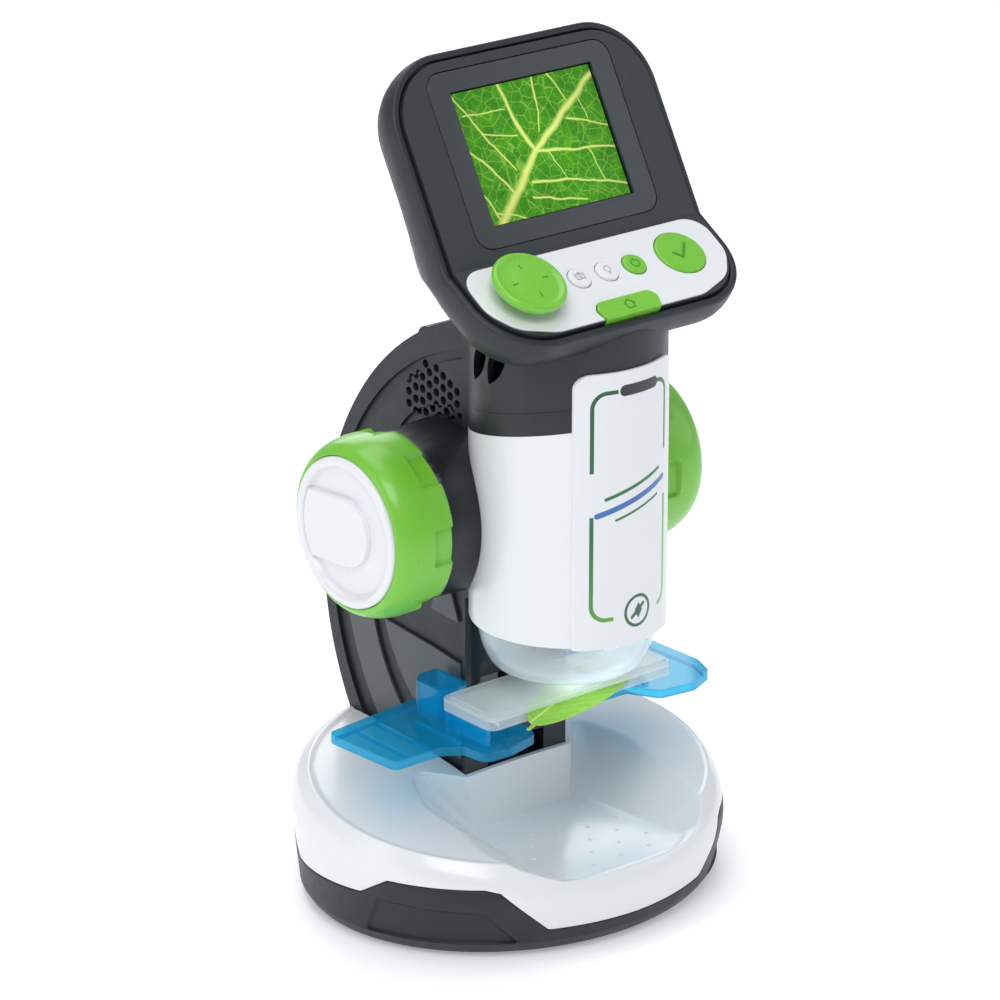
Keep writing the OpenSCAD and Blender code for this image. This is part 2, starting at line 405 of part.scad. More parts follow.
module main_board() on_screen() {
  color(c_pcb) difference() { translate([-29.6, -18, -10]) cube([59.2, 41, 1.6]);
    for (x = [-26, 26]) translate([x, 20, -12]) cylinder(r = 1.6, h = 6, $fn = 24); }
  color(c_black) translate([-9, -4, -8.4]) cube([18, 14, 1.4]);
  color(c_black) translate([14, -12, -8.4]) cube([11, 8, 1.2]);
  color(c_steel) translate([-27, -14, -8.4]) cube([12, 10, 2.2]);
}
module head_screws() color(c_steel) on_screen() for (p = hb) translate([p.x, p.y, -9]) rotate([180, 0, 0]) screw(7.4, 1.15, 2.8, 1.8);
keys = [[27.2, key_y, 7.3], [11.1, key_y, 3.4], [1.6, key_y, 3.3], [-7.8, key_y, 3.3]];
pad = [-27.2, -12.8];
module panel_insert() color(c_white) on_panel() difference() {
  union() {
    translate([0, 0, -1.2]) linear_extrude(2.8) polygon(ins);
  }
  for (k = keys) translate([k.x, k.y, -5]) cylinder(r = k[2] + 0.2, h = 12, $fn = 48);
  translate([0, 0, -5]) linear_extrude(12) polygon(inset(home_o, -0.2));
  translate([pad.x, pad.y, -5]) cylinder(r = 4.3, h = 12, $fn = 48);
  translate([pad.x, pad.y, 34.4]) sphere(r = 34.4, $fn = 96);
}
module button(k, top, c) color(c) on_panel() translate([k.x, k.y, 0]) {
  rotate_extrude($fn = 64) polygon([[0, -2.6], [k[2] + 0.9, -2.6], [k[2] + 0.9, -1.3], [k[2], -1.3], [k[2], top - 0.4], [k[2] - 0.4, top], [0, top]]);
}
module ok_button() button(keys[0], 2.2, c_green);
module power_button() button(keys[1], 2.4, c_green);
module light_button() button(keys[2], 2.4, c_white);
module menu_button() button(keys[3], 2.4, c_white);
module home_button() color(c_green) on_panel() union() {
  translate([0, 0, -1.25]) linear_extrude(3.7) polygon(home_o);
  translate([-8.2, -26.8, -2.5]) cube([16.4, 4.2, 1.25]);
}
module keypad_board() on_panel() {
  color(c_pcb) difference() { translate([-36, -22.5, -7.4]) cube([72, 21.5, 1.4]); translate([pad.x, pad.y, -9]) cylinder(r = 8.4, h = 5, $fn = 48); }
  color([0.8, 0.82, 0.85]) for (k = keys) translate([k.x, k.y, -6]) { cylinder(r = 3, h = 1, $fn = 32); cylinder(r = 1.5, h = 2.2, $fn = 32); }
  color([0.8, 0.82, 0.85]) translate([0, -20, -6]) { cylinder(r = 2.4, h = 1, $fn = 32); cylinder(r = 1.3, h = 2.2, $fn = 32); }
}
gz = -5.6; // height of the pad's two crossed pivots
module dpad() color(c_green) on_panel() translate([pad.x, pad.y, 0]) {
  rotate_extrude($fn = 64) polygon([[0, 7.4], [0, -6.8], [2.6, -6.8], [2.6, 3.4], [8.6, 4.2], [10.1, 5.1], [10.3, 6], [9.7, 7], [9, 7.2], [8.2, 6.9], [7.6, 6.8], [5, 7.2]]);
  translate([0, -4.4, gz]) rotate([-90, 0, 0]) cylinder(r = 0.7, h = 8.8, $fn = 24);
}
module dpad_gimbal() color(c_black) on_panel() translate([pad.x, pad.y, 0]) difference() {
  union() {
    translate([0, 0, gz - 1.4]) cylinder(r = 5, h = 2.8, $fn = 48);
    translate([-7, 0, gz]) rotate([0, 90, 0]) cylinder(r = 0.7, h = 14, $fn = 24);
  }
  translate([0, 0, gz - 3]) cylinder(r = 3.4, h = 6, $fn = 48);
  translate([0, -8, gz]) rotate([-90, 0, 0]) cylinder(r = 0.76, h = 16, $fn = 24);
}
module dpad_mount() color(c_black) on_panel() translate([pad.x, pad.y, 0]) difference() {
  union() {
    translate([0, 0, -9.6]) cylinder(r = 7.6, h = 1.4, $fn = 48);
    for (s = [-1, 1]) box([s > 0 ? 5.6 : -7.2, -2, -9.4], [s > 0 ? 7.2 : -5.6, 2, -4.2]);
  }
  translate([-12, 0, gz]) rotate([0, 90, 0]) cylinder(r = 0.76, h = 24, $fn = 24);
}

// ---------- focus drive ----------
pr = gear_mod * pinion_teeth / 2; // pitch radius
module hub(s) color(c_black) difference() {
  mirror([s > 0 ? 1 : 0, 0, 0]) translate([-arm_x, kn_y, kn_z]) rotate([0, -90, 0]) rotate_extrude($fn = 128)
    polygon([[6.6, 0], [24, 0], [23.2, 16], [22, 18.2], [6.6, 18.2], [6.6, 15.4], [20.6, 15.4], [20.6, 1.6], [6.6, 1.6]]);
  translate([0, -25, 60]) cylinder(r = barrel_r + 0.12, h = 100, $fn = 128);
}
module focus_hub_left() hub(-1);
module focus_hub_right() hub(1);
module shaft_bushes() color([0.8, 0.65, 0.3]) for (s = [0, 1]) mirror([s, 0, 0]) translate([-arm_x, kn_y, kn_z]) rotate([0, -90, 0])
  rotate_extrude($fn = 64) polygon([[3.05, -2.6], [4.5, -2.6], [4.5, 0], [6, 0], [6, 1.4], [3.05, 1.4]]);
module focus_shaft() color(c_steel) xcyl(-50, 50, 3, kn_y, kn_z);
function inv(a) = tan(a) - a * PI / 180;
rb = pr * cos(20);
function tooth(c, ra, rr, th) = let(n = 5, h0 = th / 2 / pr * 180 / PI + inv(20) * 180 / PI)
  concat([[rr * cos(c - h0), rr * sin(c - h0)]],
    [for (i = [0:n]) let(q = rb + (ra - rb) * i / n, al = acos(rb / q), h = h0 - inv(al) * 180 / PI) [q * cos(c - h), q * sin(c - h)]],
    [for (i = [n:-1:0]) let(q = rb + (ra - rb) * i / n, al = acos(rb / q), h = h0 - inv(al) * 180 / PI) [q * cos(c + h), q * sin(c + h)]],
    [[rr * cos(c + h0), rr * sin(c + h0)]]);
pitch = PI * gear_mod;
module focus_pinion() color([0.92, 0.9, 0.84]) yz(-4.5, 4.5) translate([kn_y, kn_z]) difference() {
  polygon([for (i = [0:pinion_teeth - 1]) each tooth(i * 360 / pinion_teeth, pr + 0.8 * gear_mod, pr - 1.15 * gear_mod, pitch * 0.42)]);
  circle(r = 3, $fn = 48);
}
module knob(s) color(c_green) mirror([s > 0 ? 1 : 0, 0, 0]) translate([-36.7, kn_y, kn_z]) rotate([0, -90, 0]) difference() {
  rotate_extrude($fn = 128) polygon([[3, 4], [6.4, 4], [6.4, 12.4], [20.9, 12.4], [23, 9], [23, 0], [knob_r - 0.3, 0], [knob_r, 1.6],
    [knob_r, 8.5], [24.6, 12.6], [23.4, 15.4], [22, 17], [21, 17.1], [21, 14.2], [3, 14.2]]);
  for (i = [0:6]) rotate(i * 360 / 7 + 12) translate([knob_r - 1.5, 0, -1]) rotate([0, 0, 0]) translate([0, -5, 0]) cube([6, 10, 7]);
}
module focus_knob_left() knob(-1);
module focus_knob_right() knob(1);
module cap(s) color(c_white) mirror([s > 0 ? 1 : 0, 0, 0]) translate([-36.7, kn_y, kn_z]) rotate([0, -90, 0]) difference() {
  union() {
    rotate_extrude($fn = 128) polygon([[0, 14.2], [20.9, 14.2], [20.9, 17.2], [20.2, 18.1], [16.6, 18.1], [15.9, 16.4], [0, 16.4]]);
    translate([0, 0, 16.2]) linear_extrude(1.7) intersection() { circle(r = 14.6, $fn = 96); translate([-30, -9.4]) square([60, 18.8]); }
  }
}
module knob_cap_left() cap(-1);
module knob_cap_right() cap(1);

// ---------- stage ----------
module focus_rack() color([0.92, 0.9, 0.84]) yz(-4, 4) {
  y0 = kn_y + pr; hr = 0.5 * pitch * 0.42;
  difference() { translate([y0 + 0.94, 52]) square([3, 80.5]); }
  for (i = [-5:6]) translate([y0, kn_z + (i + 0.5) * pitch]) polygon([[0.96, -hr - 0.96 * tan(20)], [0.96, hr + 0.96 * tan(20)], [-0.64, hr - 0.64 * tan(20)], [-0.64, -hr + 0.64 * tan(20)]]);
}
ry = kn_y + pr + 0.94; // front of the rack's bar
module stage_carriage() color(c_black) difference() {
  union() { box([-13.4, ry, 46], [13.4, 20, 70]); box([-8, -10.4, 46], [8, ry + 1, 52]); }
  box([-4, ry - 1, 52], [4, ry + 3, 80]);
  for (s = [-1, 1]) translate([s * 9.5, 15, 40]) cylinder(r = 2.06, h = 40, $fn = 32);
  for (s = [-1, 1]) translate([s * 5, -7.4, 40]) cylinder(r = 1.1, h = 20, $fn = 24);
}
plate_p = [[10.5, -16.6], [28.6, -17.2], [33.6, -25.8], [45, -27.4], [53.6, -23.6], [stage_x + 1, -15.6], [stage_x + 0.3, 8.6], [20.4, 13.4], [19.4, 11], [19.4, -4.4],
  [-19.4, -4.4], [-19.4, 11], [-20.4, 13.4], [-stage_x - 0.3, 9.2], [-stage_x + 1.5, -18], [-38, -18], [-33, -21.5], [-32.2, -29.4], [-23.2, -29.9], [-13, -27.4], [-10.4, -21], [-10.5, -16.6]];
plate_r = [1, 1.5, 3, 4, 4, 3, 2.5, 0.8, 0.6, 0.6, 0.6, 0.6, 0.8, 2.5, 2.5, 4, 2, 3, 3, 3, 1, 1];
plate_o = rpoly(plate_p, plate_r, 4);
tower_o = rpoly([[19.4, -6.6], [24, -8], [29.2, -5.6], [29.2, 4], [25.6, 7], [19.4, 7]], 1.6, 4);
module stage_plate() color(c_blue) difference() {
  union() {
    difference() {
      translate([0, 0, stage_z - 2.6]) linear_extrude(2.6) polygon(plate_o);
      translate([0, 0, stage_z - 5]) linear_extrude(3.7) polygon(rpoly(inset(plate_p, 1.3), 0.4, 2));
    }
    box([-10, -11, stage_z - 2.1], [10, -5, stage_z]);
    // ribs the slide rests on, its rear stops and a low ridge beside it
    box([-29.8, -27, stage_z - 0.1], [-28.4, -10.9, stage_z + 7.35]);
    box([30.8, -20.4, stage_z - 0.1], [32.2, -10.9, stage_z + 7.35]);
    for (s = [0, 1]) mirror([s, 0, 0]) {
      box([20, -12.3, stage_z - 0.1], [31, -10.9, stage_z + 7.35]);
      box([33, -20, stage_z - 0.1], [34.2, -1.2, stage_z + 1]);
      // clip tower beside the arm, an open cup
      translate([0, 0, stage_z - 1.2]) linear_extrude(11.4) polygon(tower_o);
      // stiffening ribs in the wing
      box([38.4, -14, stage_z - 2.5], [39.4, 9, stage_z - 1.2]);
      box([46, -14, stage_z - 2.5], [47, 8, stage_z - 1.2]);
    }
  }
  for (s = [0, 1]) mirror([s, 0, 0]) translate([0, 0, stage_z + 1.4]) linear_extrude(13.4) polygon(inset(tower_o, 1.3));
  translate([0, -21.6, 0]) cylinder(r = 11.2, h = 90);
  for (s = [-1, 1]) translate([s * 5, -7.4, 40]) cylinder(r = 1.5, h = 20, $fn = 24);
  box([-9, -10.9, 40], [9, -3, 52]);
}
module stage_screws() color(c_steel) for (s = [-1, 1]) translate([s * 5, -7.4, stage_z]) screw(7.4, 1.1, 2.2, 1.3);

// ---------- specimen slide ----------
sl_z = stage_z + 7.4;
sl_p = [[32.6, -32.4], [32.6, -11], [-32.6, -11], [-32.6, -32.4]];
sl_o = rpoly(sl_p, [3, 2, 2, 3], 4);
module slide_tray() color(c_clear) difference() {
  translate([0, 0, sl_z]) linear_extrude(2.4) polygon(sl_o);
  translate([0, 0, sl_z + 0.9]) linear_extrude(3) polygon([[29.6, -40], [29.6, -12], [-29.6, -12], [-29.6, -40]]);
}
module slide_cover() color(c_clear) difference() {
  union() {
    translate([0, 0, sl_z + 2.4]) linear_extrude(1.3) polygon(sl_o);
    translate([0, 0, sl_z + 3.7]) linear_extrude(0.8) polygon(rpoly(inset(sl_p, 1.2), 1.6, 4));
  }
  translate([0, -21.7, sl_z + 3.1]) cylinder(r = 9, h = 3);
}
// half length and half width of the leaf, and its direction
function leaf(t) = let(a = 26, b = 9.6, x = -a * cos(t), w = b * sin(t) * (1 - 0.22 * cos(t)))
  [x * cos(24) - w * sin(24), x * sin(24) + w * cos(24)];
module leaf_specimen() color(c_green) translate([0, 0, sl_z + 1]) {
  linear_extrude(0.5) translate([2, -26.9]) polygon([for (i = [0:35]) leaf(-i * 10)]);
  translate([2, -26.9, 0]) rotate(24) translate([-30, -0.4, 0]) cube([5.6, 0.8, 0.5]);
}
// lead from the battery box up the arm to the head, swept along points in the YZ plane
lead_p = [[21.7, 19], [21.7, 48], [21.8, 76], [23.6, 92], [24.2, 106], [23.8, 118], [21.4, 130], [16.5, 141], [9, 149.5], [1, 155.6], [-6, 160.6], [-10.5, 166], [-12, 172]];
function lead_n(i) = let(m = len(lead_p) - 1, a = unit(lead_p[min(i + 1, m)] - lead_p[max(i - 1, 0)])) [-a.y, a.x];
module power_lead() color([0.6, 0.1, 0.1]) loft([for (i = [0:len(lead_p) - 1]) [for (k = [0:7])
  let(n = lead_n(i), c = 1.2 * cos(k * 45), d = -1.2 * sin(k * 45)) [c, lead_p[i].x + n.x * d, lead_p[i].y + n.y * d]]]);

base_lower_shell();
base_upper_shell();
battery_door();
battery_door_screw();
battery_cells();
battery_contacts();
rubber_feet();
base_screws();
arm_base_bracket();
arm_left_shell();
arm_right_shell();
arm_screws();
arm_inlay_left();
arm_inlay_right();
neck_left_shell();
neck_right_shell();
neck_ring();
speaker();
guide_rods();
power_lead();
focus_hub_left();
focus_hub_right();
shaft_bushes();
focus_shaft();
focus_pinion();
focus_knob_left();
focus_knob_right();
knob_cap_left();
knob_cap_right();
focus_rack();
stage_carriage();
stage_plate();
stage_screws();
slide_tray();
slide_cover();
leaf_specimen();
barrel_shell();
front_shield();
light_shroud();
camera_mount();
camera_board();
objective_housing();
objective_lens();
led_ring();
head_rear_shell();
head_front_bezel();
screen_frame();
lcd_panel();
main_board();
head_screws();
panel_insert();
keypad_board();
ok_button();
power_button();
light_button();
menu_button();
home_button();
dpad();
dpad_gimbal();
dpad_mount();
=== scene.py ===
import bpy
import bmesh
import json
import math
from mathutils import Matrix, Vector


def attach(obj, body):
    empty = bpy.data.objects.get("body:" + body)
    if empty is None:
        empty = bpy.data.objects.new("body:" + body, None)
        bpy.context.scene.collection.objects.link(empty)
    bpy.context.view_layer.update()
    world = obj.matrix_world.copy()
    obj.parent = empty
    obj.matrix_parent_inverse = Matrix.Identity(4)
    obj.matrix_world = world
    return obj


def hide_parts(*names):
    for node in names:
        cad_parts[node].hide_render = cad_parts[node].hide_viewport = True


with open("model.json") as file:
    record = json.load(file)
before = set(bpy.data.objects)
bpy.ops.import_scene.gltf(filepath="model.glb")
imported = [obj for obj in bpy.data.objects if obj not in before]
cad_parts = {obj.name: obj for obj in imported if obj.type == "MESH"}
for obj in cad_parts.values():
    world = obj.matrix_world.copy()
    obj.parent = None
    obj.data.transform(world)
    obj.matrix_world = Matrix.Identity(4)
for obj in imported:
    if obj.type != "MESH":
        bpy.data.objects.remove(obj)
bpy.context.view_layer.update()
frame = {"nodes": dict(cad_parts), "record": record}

SC = bpy.context.scene
MM = 0.001
sin, cos, pi = math.sin, math.cos, math.pi


# ------------------------------------------------------------------ helpers
def clamp(v, a=0.0, b=1.0):
    return max(a, min(b, v))


def sstep(a, b, v):
    u = clamp((v - a) / (b - a))
    return u * u * (3 - 2 * u)


def lerp(a, b, u):
    return a + (b - a) * u


def lookup(x, tab):
    if x <= tab[0][0]:
        return tab[0][1]
    for (a, va), (b, vb) in zip(tab, tab[1:]):
        if x <= b:
            return va + (vb - va) * (x - a) / (b - a)
    return tab[-1][1]


def smin(a, b, k):
    h = clamp(0.5 + 0.5 * (b - a) / k)
    return lerp(b, a, h) - k * h * (1 - h)


def smax(a, b, k):
    return -smin(-a, -b, k)


def rpoly(pts, rad, n=6):
    """2D polygon with rounded corners; rad is one radius or one per corner."""
    out = []
    m = len(pts)
    for i, p1 in enumerate(pts):
        r = rad[i] if isinstance(rad, (list, tuple)) else rad
        p0, p2 = Vector(pts[i - 1]), Vector(pts[(i + 1) % m])
        p1 = Vector(p1)
        if r <= 0:
            out.append(tuple(p1))
            continue
        a, b = (p0 - p1).normalized(), (p2 - p1).normalized()
        g = math.acos(clamp(a.dot(b), -1, 1))
        if g > pi - 1e-3:
            out.append(tuple(p1))
            continue
        c = p1 + (a + b).normalized() * (r / sin(g / 2))
        s, e = p1 + a * (r / math.tan(g / 2)), p1 + b * (r / math.tan(g / 2))
        a0 = math.atan2(s.y - c.y, s.x - c.x)
        a1 = math.atan2(e.y - c.y, e.x - c.x)
        da = (a1 - a0 + 3 * pi) % (2 * pi) - pi
        out += [(c.x + r * cos(a0 + da * k / n), c.y + r * sin(a0 + da * k / n)) for k in range(n + 1)]
    return out


def sym(p):
    return list(p) + [(-x, y) for x, y in reversed(p)]


def offset(poly, d):
    """Moves a counter-clockwise outline inwards by d."""
    out = []
    n = len(poly)
    for i in range(n):
        p = Vector(poly[i])
        a = (p - Vector(poly[i - 1]))
        b = (Vector(poly[(i + 1) % n]) - p)
        if a.length < 1e-9 or b.length < 1e-9:
            a = a if a.length > 1e-9 else b
            b = b if b.length > 1e-9 else a
        a.normalize()
        b.normalize()
        na, nb = Vector((-a.y, a.x)), Vector((-b.y, b.x))
        out.append(tuple(p + (na + nb) * (d / max(0.35, 1 + na.dot(nb)))))
    return out


def resample(poly, n):
    """Closed 2D outline resampled to n even points."""
    pts = [Vector(p) for p in poly]
    seg = [(pts[(i + 1) % len(pts)] - p).length for i, p in enumerate(pts)]
    tot = sum(seg)
    out, i, acc = [], 0, 0.0
    for k in range(n):
        s = tot * k / n
        while acc + seg[i] < s:
            acc += seg[i]
            i += 1
        u = (s - acc) / max(seg[i], 1e-9)
        out.append(tuple(pts[i].lerp(pts[(i + 1) % len(pts)], u)))
    return out


class Frame3:
    """Local millimetre axes placed in the object frame."""

    def __init__(s, o=(0, 0, 0), x=(1, 0, 0), y=(0, 1, 0), z=(0, 0, 1)):
        s.o, s.x, s.y, s.z = Vector(o), Vector(x), Vector(y), Vector(z)

    def __call__(s, p):
        return s.o + s.x * p[0] + s.y * p[1] + s.z * p[2]


W = Frame3()
a29 = math.radians(90 - 29.6)
SCR = Frame3((0, -13.5, 214.5), (1, 0, 0), (0, cos(a29), sin(a29)), (0, -sin(a29), cos(a29)))
a31 = math.radians(31)
PAN = Frame3((0, -27.3, 190.15), (1, 0, 0), (0, cos(a31), sin(a31)), (0, -sin(a31), cos(a31)))


def make(name, verts, faces, mat, body, rep=(), fr=W, smooth=True, angle=40, merge=0.0):
    me = bpy.data.meshes.new(name)
    me.from_pydata([tuple(fr(v) * MM) for v in verts], [], faces)
    me.validate()
    bm = bmesh.new()
    bm.from_mesh(me)
    if merge:
        bmesh.ops.remove_doubles(bm, verts=bm.verts, dist=merge * MM)
    bmesh.ops.recalc_face_normals(bm, faces=bm.faces)
    bm.to_mesh(me)
    bm.free()
    return finish_obj(name, me, mat, body, rep, smooth, angle)


def finish_obj(name, me, mat, body, rep=(), smooth=True, angle=40):
    me.materials.clear()
    for m in (mat if isinstance(mat, (list, tuple)) else [mat]):
        me.materials.append(m)
    if smooth:
        me.polygons.foreach_set("use_smooth", [True] * len(me.polygons))
        me.set_sharp_from_angle(angle=math.radians(angle))
    me.update()
    o = bpy.data.objects.new(name, me)
    SC.collection.objects.link(o)
    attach(o, body)
    if rep:
        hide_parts(*([rep] if isinstance(rep, str) else rep))
    return o


def rings_mesh(rings, cap0=True, cap1=True):
    n = len(rings[0])
    v = [p for r in rings for p in r]
    f = []
    for j in range(len(rings) - 1):
        for i in range(n):
            k = (i + 1) % n
            f.append((j * n + i, j * n + k, (j + 1) * n + k, (j + 1) * n + i))
    if cap0:
        f.append(tuple(reversed(range(n))))
    if cap1:
        f.append(tuple((len(rings) - 1) * n + i for i in range(n)))
    return v, f


def fan_cap(v, ring_start, n, centre, flip=False):
    c = len(v)
    v.append(centre)
    return [((ring_start + (i + 1) % n, ring_start + i, c) if flip else (ring_start + i, ring_start + (i + 1) % n, c)) for i in range(n)]


def soften(prof, r, n=4):
    """Open profile with its inner corners rounded; r is one radius or one per inner corner."""
    out = [prof[0]]
    for i in range(1, len(prof) - 1):
        p0, p1, p2 = Vector(prof[i - 1]), Vector(prof[i]), Vector(prof[i + 1])
        rr = r[i - 1] if isinstance(r, (list, tuple)) else r
        l = min(rr, 0.48 * (p0 - p1).length, 0.48 * (p2 - p1).length)
        if l < 1e-6:
            out.append(tuple(p1))
            continue
        s, e = p1 + (p0 - p1).normalized() * l, p1 + (p2 - p1).normalized() * l
        for k in range(n + 1):
            u = k / n
            out.append(tuple(s * (1 - u) ** 2 + p1 * 2 * u * (1 - u) + e * u * u))
    out.append(prof[-1])
    return out


def lathe(name, prof, fr, mat, body, rep=(), n=96, closed=False, angle=35, warp=None):
    """Revolves a (radius, height) profile about the frame's z axis."""
    verts, idx = [], []
    for (r, z) in prof:
        if r < 1e-6:
            idx.append([len(verts)] * n)
            verts.append((0, 0, z))
        else:
            idx.append(list(range(len(verts), len(verts) + n)))
            for i in range(n):
                a = 2 * pi * i / n
                p = (r * cos(a), r * sin(a), z)
                verts.append(warp(p, a, r, z) if warp else p)
    faces = []
    m = len(prof)
    for j in range(m if closed else m - 1):
        A, B = idx[j], idx[(j + 1) % m]
        for i in range(n):
            k = (i + 1) % n
            q = []
            for w in (A[i], A[k], B[k], B[i]):
                if w not in q:
                    q.append(w)
            if len(q) > 2:
                faces.append(tuple(q))
    if not closed:
        for row in (idx[0], idx[-1]):
            if row[0] != row[1]:
                faces.append(tuple(row))
    return make(name, verts, faces, mat, body, rep, fr, angle=angle)


def slab_mesh(poly, z0, z1, bt=0.4, bb=0.0, n=4, crown=0.0):
    """Extruded outline with a rounded top edge (bt) and bottom edge (bb)."""
    rings = []
    if bb > 0:
        for k in range(n + 1):
            a = pi / 2 * k / n
            o = offset(poly, bb * (1 - sin(a)))
            rings.append([(x, y, z0 + bb * (1 - cos(a))) for x, y in o])
    else:
        rings.append([(x, y, z0) for x, y in poly])
    for k in range(n + 1):
        a = pi / 2 * k / n
        o = offset(poly, bt * (1 - cos(a)))
        rings.append([(x, y, z1 - bt * (1 - sin(a))) for x, y in o])
    return rings_mesh(rings)


def bake(o):
    """Applies an object's modifiers to its mesh."""
    bpy.context.view_layer.update()
    dg = bpy.context.evaluated_depsgraph_get()
    me = bpy.data.meshes.new_from_object(o.evaluated_get(dg))
    old = o.data
    o.modifiers.clear()
    o.data = me
    bpy.data.meshes.remove(old)
    return o


def cut(o, cutters, op="DIFFERENCE", angle=None):
    """Boolean of o with temporary meshes, applied at once. Each cutter is (verts, faces, frame)."""
    tmp = []
    for v, f, fr in cutters:
        me = bpy.data.meshes.new("cutter")
        me.from_pydata([tuple(fr(p) * MM) for p in v], [], f)
        bm = bmesh.new()
        bm.from_mesh(me)
        bmesh.ops.recalc_face_normals(bm, faces=bm.faces)
        bm.to_mesh(me)
        bm.free()
        c = bpy.data.objects.new("cutter", me)
        SC.collection.objects.link(c)
        tmp.append(c)
        m = o.modifiers.new("cut", "BOOLEAN")
        m.operation = op
        m.object = c
        m.solver = "EXACT"
    bake(o)
    for c in tmp:
        me = c.data
        bpy.data.objects.remove(c)
        bpy.data.meshes.remove(me)
    if angle is not None:
        o.data.polygons.foreach_set("use_smooth", [True] * len(o.data.polygons))
        o.data.set_sharp_from_angle(angle=math.radians(angle))
    return o


def prism(poly, z0, z1):
    return rings_mesh([[(x, y, z0) for x, y in poly], [(x, y, z1) for x, y in poly]])


def disc(r, n=48, cx=0, cy=0):
    return [(cx + r * cos(2 * pi * i / n), cy + r * sin(2 * pi * i / n)) for i in range(n)]


def boxm(a, b):
    x0, y0, z0 = a
    x1, y1, z1 = b
    return prism([(x0, y0), (x1, y0), (x1, y1), (x0, y1)], z0, z1)


def wnorm(o):
    """Face-area weighted normals, so large flat faces shade flat beside their rounded edges."""
    m = o.modifiers.new("wn", "WEIGHTED_NORMAL")
    m.keep_sharp = True
    m.weight = 80
    return bake(o)


def from_cad(node, mat, body, bevel=0.3, seg=3, ang=38, name=None, flat=1.2, shade=35):
    """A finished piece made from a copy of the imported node, with its edges rounded."""
    me = frame["nodes"][node].data.copy()
    me.name = name or "looks_" + node
    for a in list(me.attributes):
        if a.name in ("sharp_edge", "sharp_face", "custom_normal"):
            me.attributes.remove(a)
    bm = bmesh.new()
    bm.from_mesh(me)
    bmesh.ops.remove_doubles(bm, verts=bm.verts, dist=1e-6)
    bmesh.ops.dissolve_limit(bm, angle_limit=math.radians(flat), verts=bm.verts, edges=bm.edges)
    bm.to_mesh(me)
    bm.free()
    o = finish_obj(name or "looks_" + node, me, mat, body, node, True, shade)
    if bevel > 0:
        m = o.modifiers.new("round", "BEVEL")
        m.width = bevel * MM
        m.segments = seg
        m.limit_method = "ANGLE"
        m.angle_limit = math.radians(ang)
        m.use_clamp_overlap = True
        m.miter_outer = "MITER_ARC"
        bake(o)
        o.data.polygons.foreach_set("use_smooth", [True] * len(o.data.polygons))
        o.data.set_sharp_from_angle(angle=math.radians(shade))
        wnorm(o)
    return o


# ------------------------------------------------------------------ materials
class NT:
    """Small wrapper for building a material's nodes."""

    def __init__(s, name):
        s.m = bpy.data.materials.new(name)
        s.m.use_nodes = True
        s.t = s.m.node_tree
        s.t.nodes.clear()
        s.out = s.n("ShaderNodeOutputMaterial")
        s.co = s.n("ShaderNodeTexCoord").outputs["Object"]

    def n(s, kind, **kw):
        x = s.t.nodes.new(kind)
        for k, v in kw.items():
            setattr(x, k, v)
        return x

    def link(s, a, b):
        s.t.links.new(a, b)

    def put(s, sock, v):
        if isinstance(v, bpy.types.NodeSocket):
            s.link(v, sock)
        else:
            if sock.type == "RGBA" and len(v) == 3:
                v = (*v, 1)
            sock.default_value = v

    def math(s, op, a, b=None, c=None, cl=False):
        x = s.n("ShaderNodeMath", operation=op, use_clamp=cl)
        s.put(x.inputs[0], a)
        if b is not None:
            s.put(x.inputs[1], b)
        if c is not None:
            s.put(x.inputs[2], c)
        return x.outputs[0]

    def vmath(s, op, a, b=None):
        x = s.n("ShaderNodeVectorMath", operation=op)
        s.put(x.inputs[0], a)
        if b is not None:
            s.put(x.inputs[1], b)
        return x.outputs["Value" if op in ("DOT_PRODUCT", "LENGTH", "DISTANCE") else "Vector"]

    def noise(s, scale, detail=3, rough=0.5, vec=None, out="Fac"):
        x = s.n("ShaderNodeTexNoise")
        s.link(vec if vec is not None else s.co, x.inputs["Vector"])
        x.inputs["Scale"].default_value = scale
        x.inputs["Detail"].default_value = detail
        x.inputs["Roughness"].default_value = rough
        return x.outputs[out]

    def voronoi(s, scale, feature="F1", vec=None, rand=1.0, out="Distance"):
        x = s.n("ShaderNodeTexVoronoi", feature=feature)
        s.link(vec if vec is not None else s.co, x.inputs["Vector"])
        x.inputs["Scale"].default_value = scale
        x.inputs["Randomness"].default_value = rand
        return x.outputs[out]

    def ramp(s, fac, stops, mode="LINEAR"):
        x = s.n("ShaderNodeValToRGB")
        x.color_ramp.interpolation = mode
        e = x.color_ramp.elements
        while len(e) < len(stops):
            e.new(0.5)
        for el, (p, c) in zip(e, stops):
            el.position = p
            el.color = (*c, 1) if len(c) == 3 else c
        s.link(fac, x.inputs[0])
        return x.outputs[0]

    def mix(s, fac, a, b, mode="MIX"):
        x = s.n("ShaderNodeMix", data_type="RGBA", blend_type=mode)
        s.put(x.inputs[0], fac)
        s.put(x.inputs[6], a)
        s.put(x.inputs[7], b)
        return x.outputs[2]

    def range(s, v, a, b, c, d):
        x = s.n("ShaderNodeMapRange")
        for sock, val in zip(x.inputs[:5], (v, a, b, c, d)):
            s.put(sock, val)
        return x.outputs[0]

    def bump(s, h, strength, dist):
        x = s.n("ShaderNodeBump")
        x.inputs["Strength"].default_value = strength
        x.inputs["Distance"].default_value = dist
        s.link(h, x.inputs["Height"])
        return x.outputs[0]

    def xyz(s, v=None):
        x = s.n("ShaderNodeSeparateXYZ")
        s.link(v if v is not None else s.co, x.inputs[0])
        return x.outputs

    def bsdf(s, **kw):
        x = s.n("ShaderNodeBsdfPrincipled")
        for k, v in kw.items():
            s.put(x.inputs[k.replace("_", " ")], v)
        s.link(x.outputs[0], s.out.inputs[0])
        return x


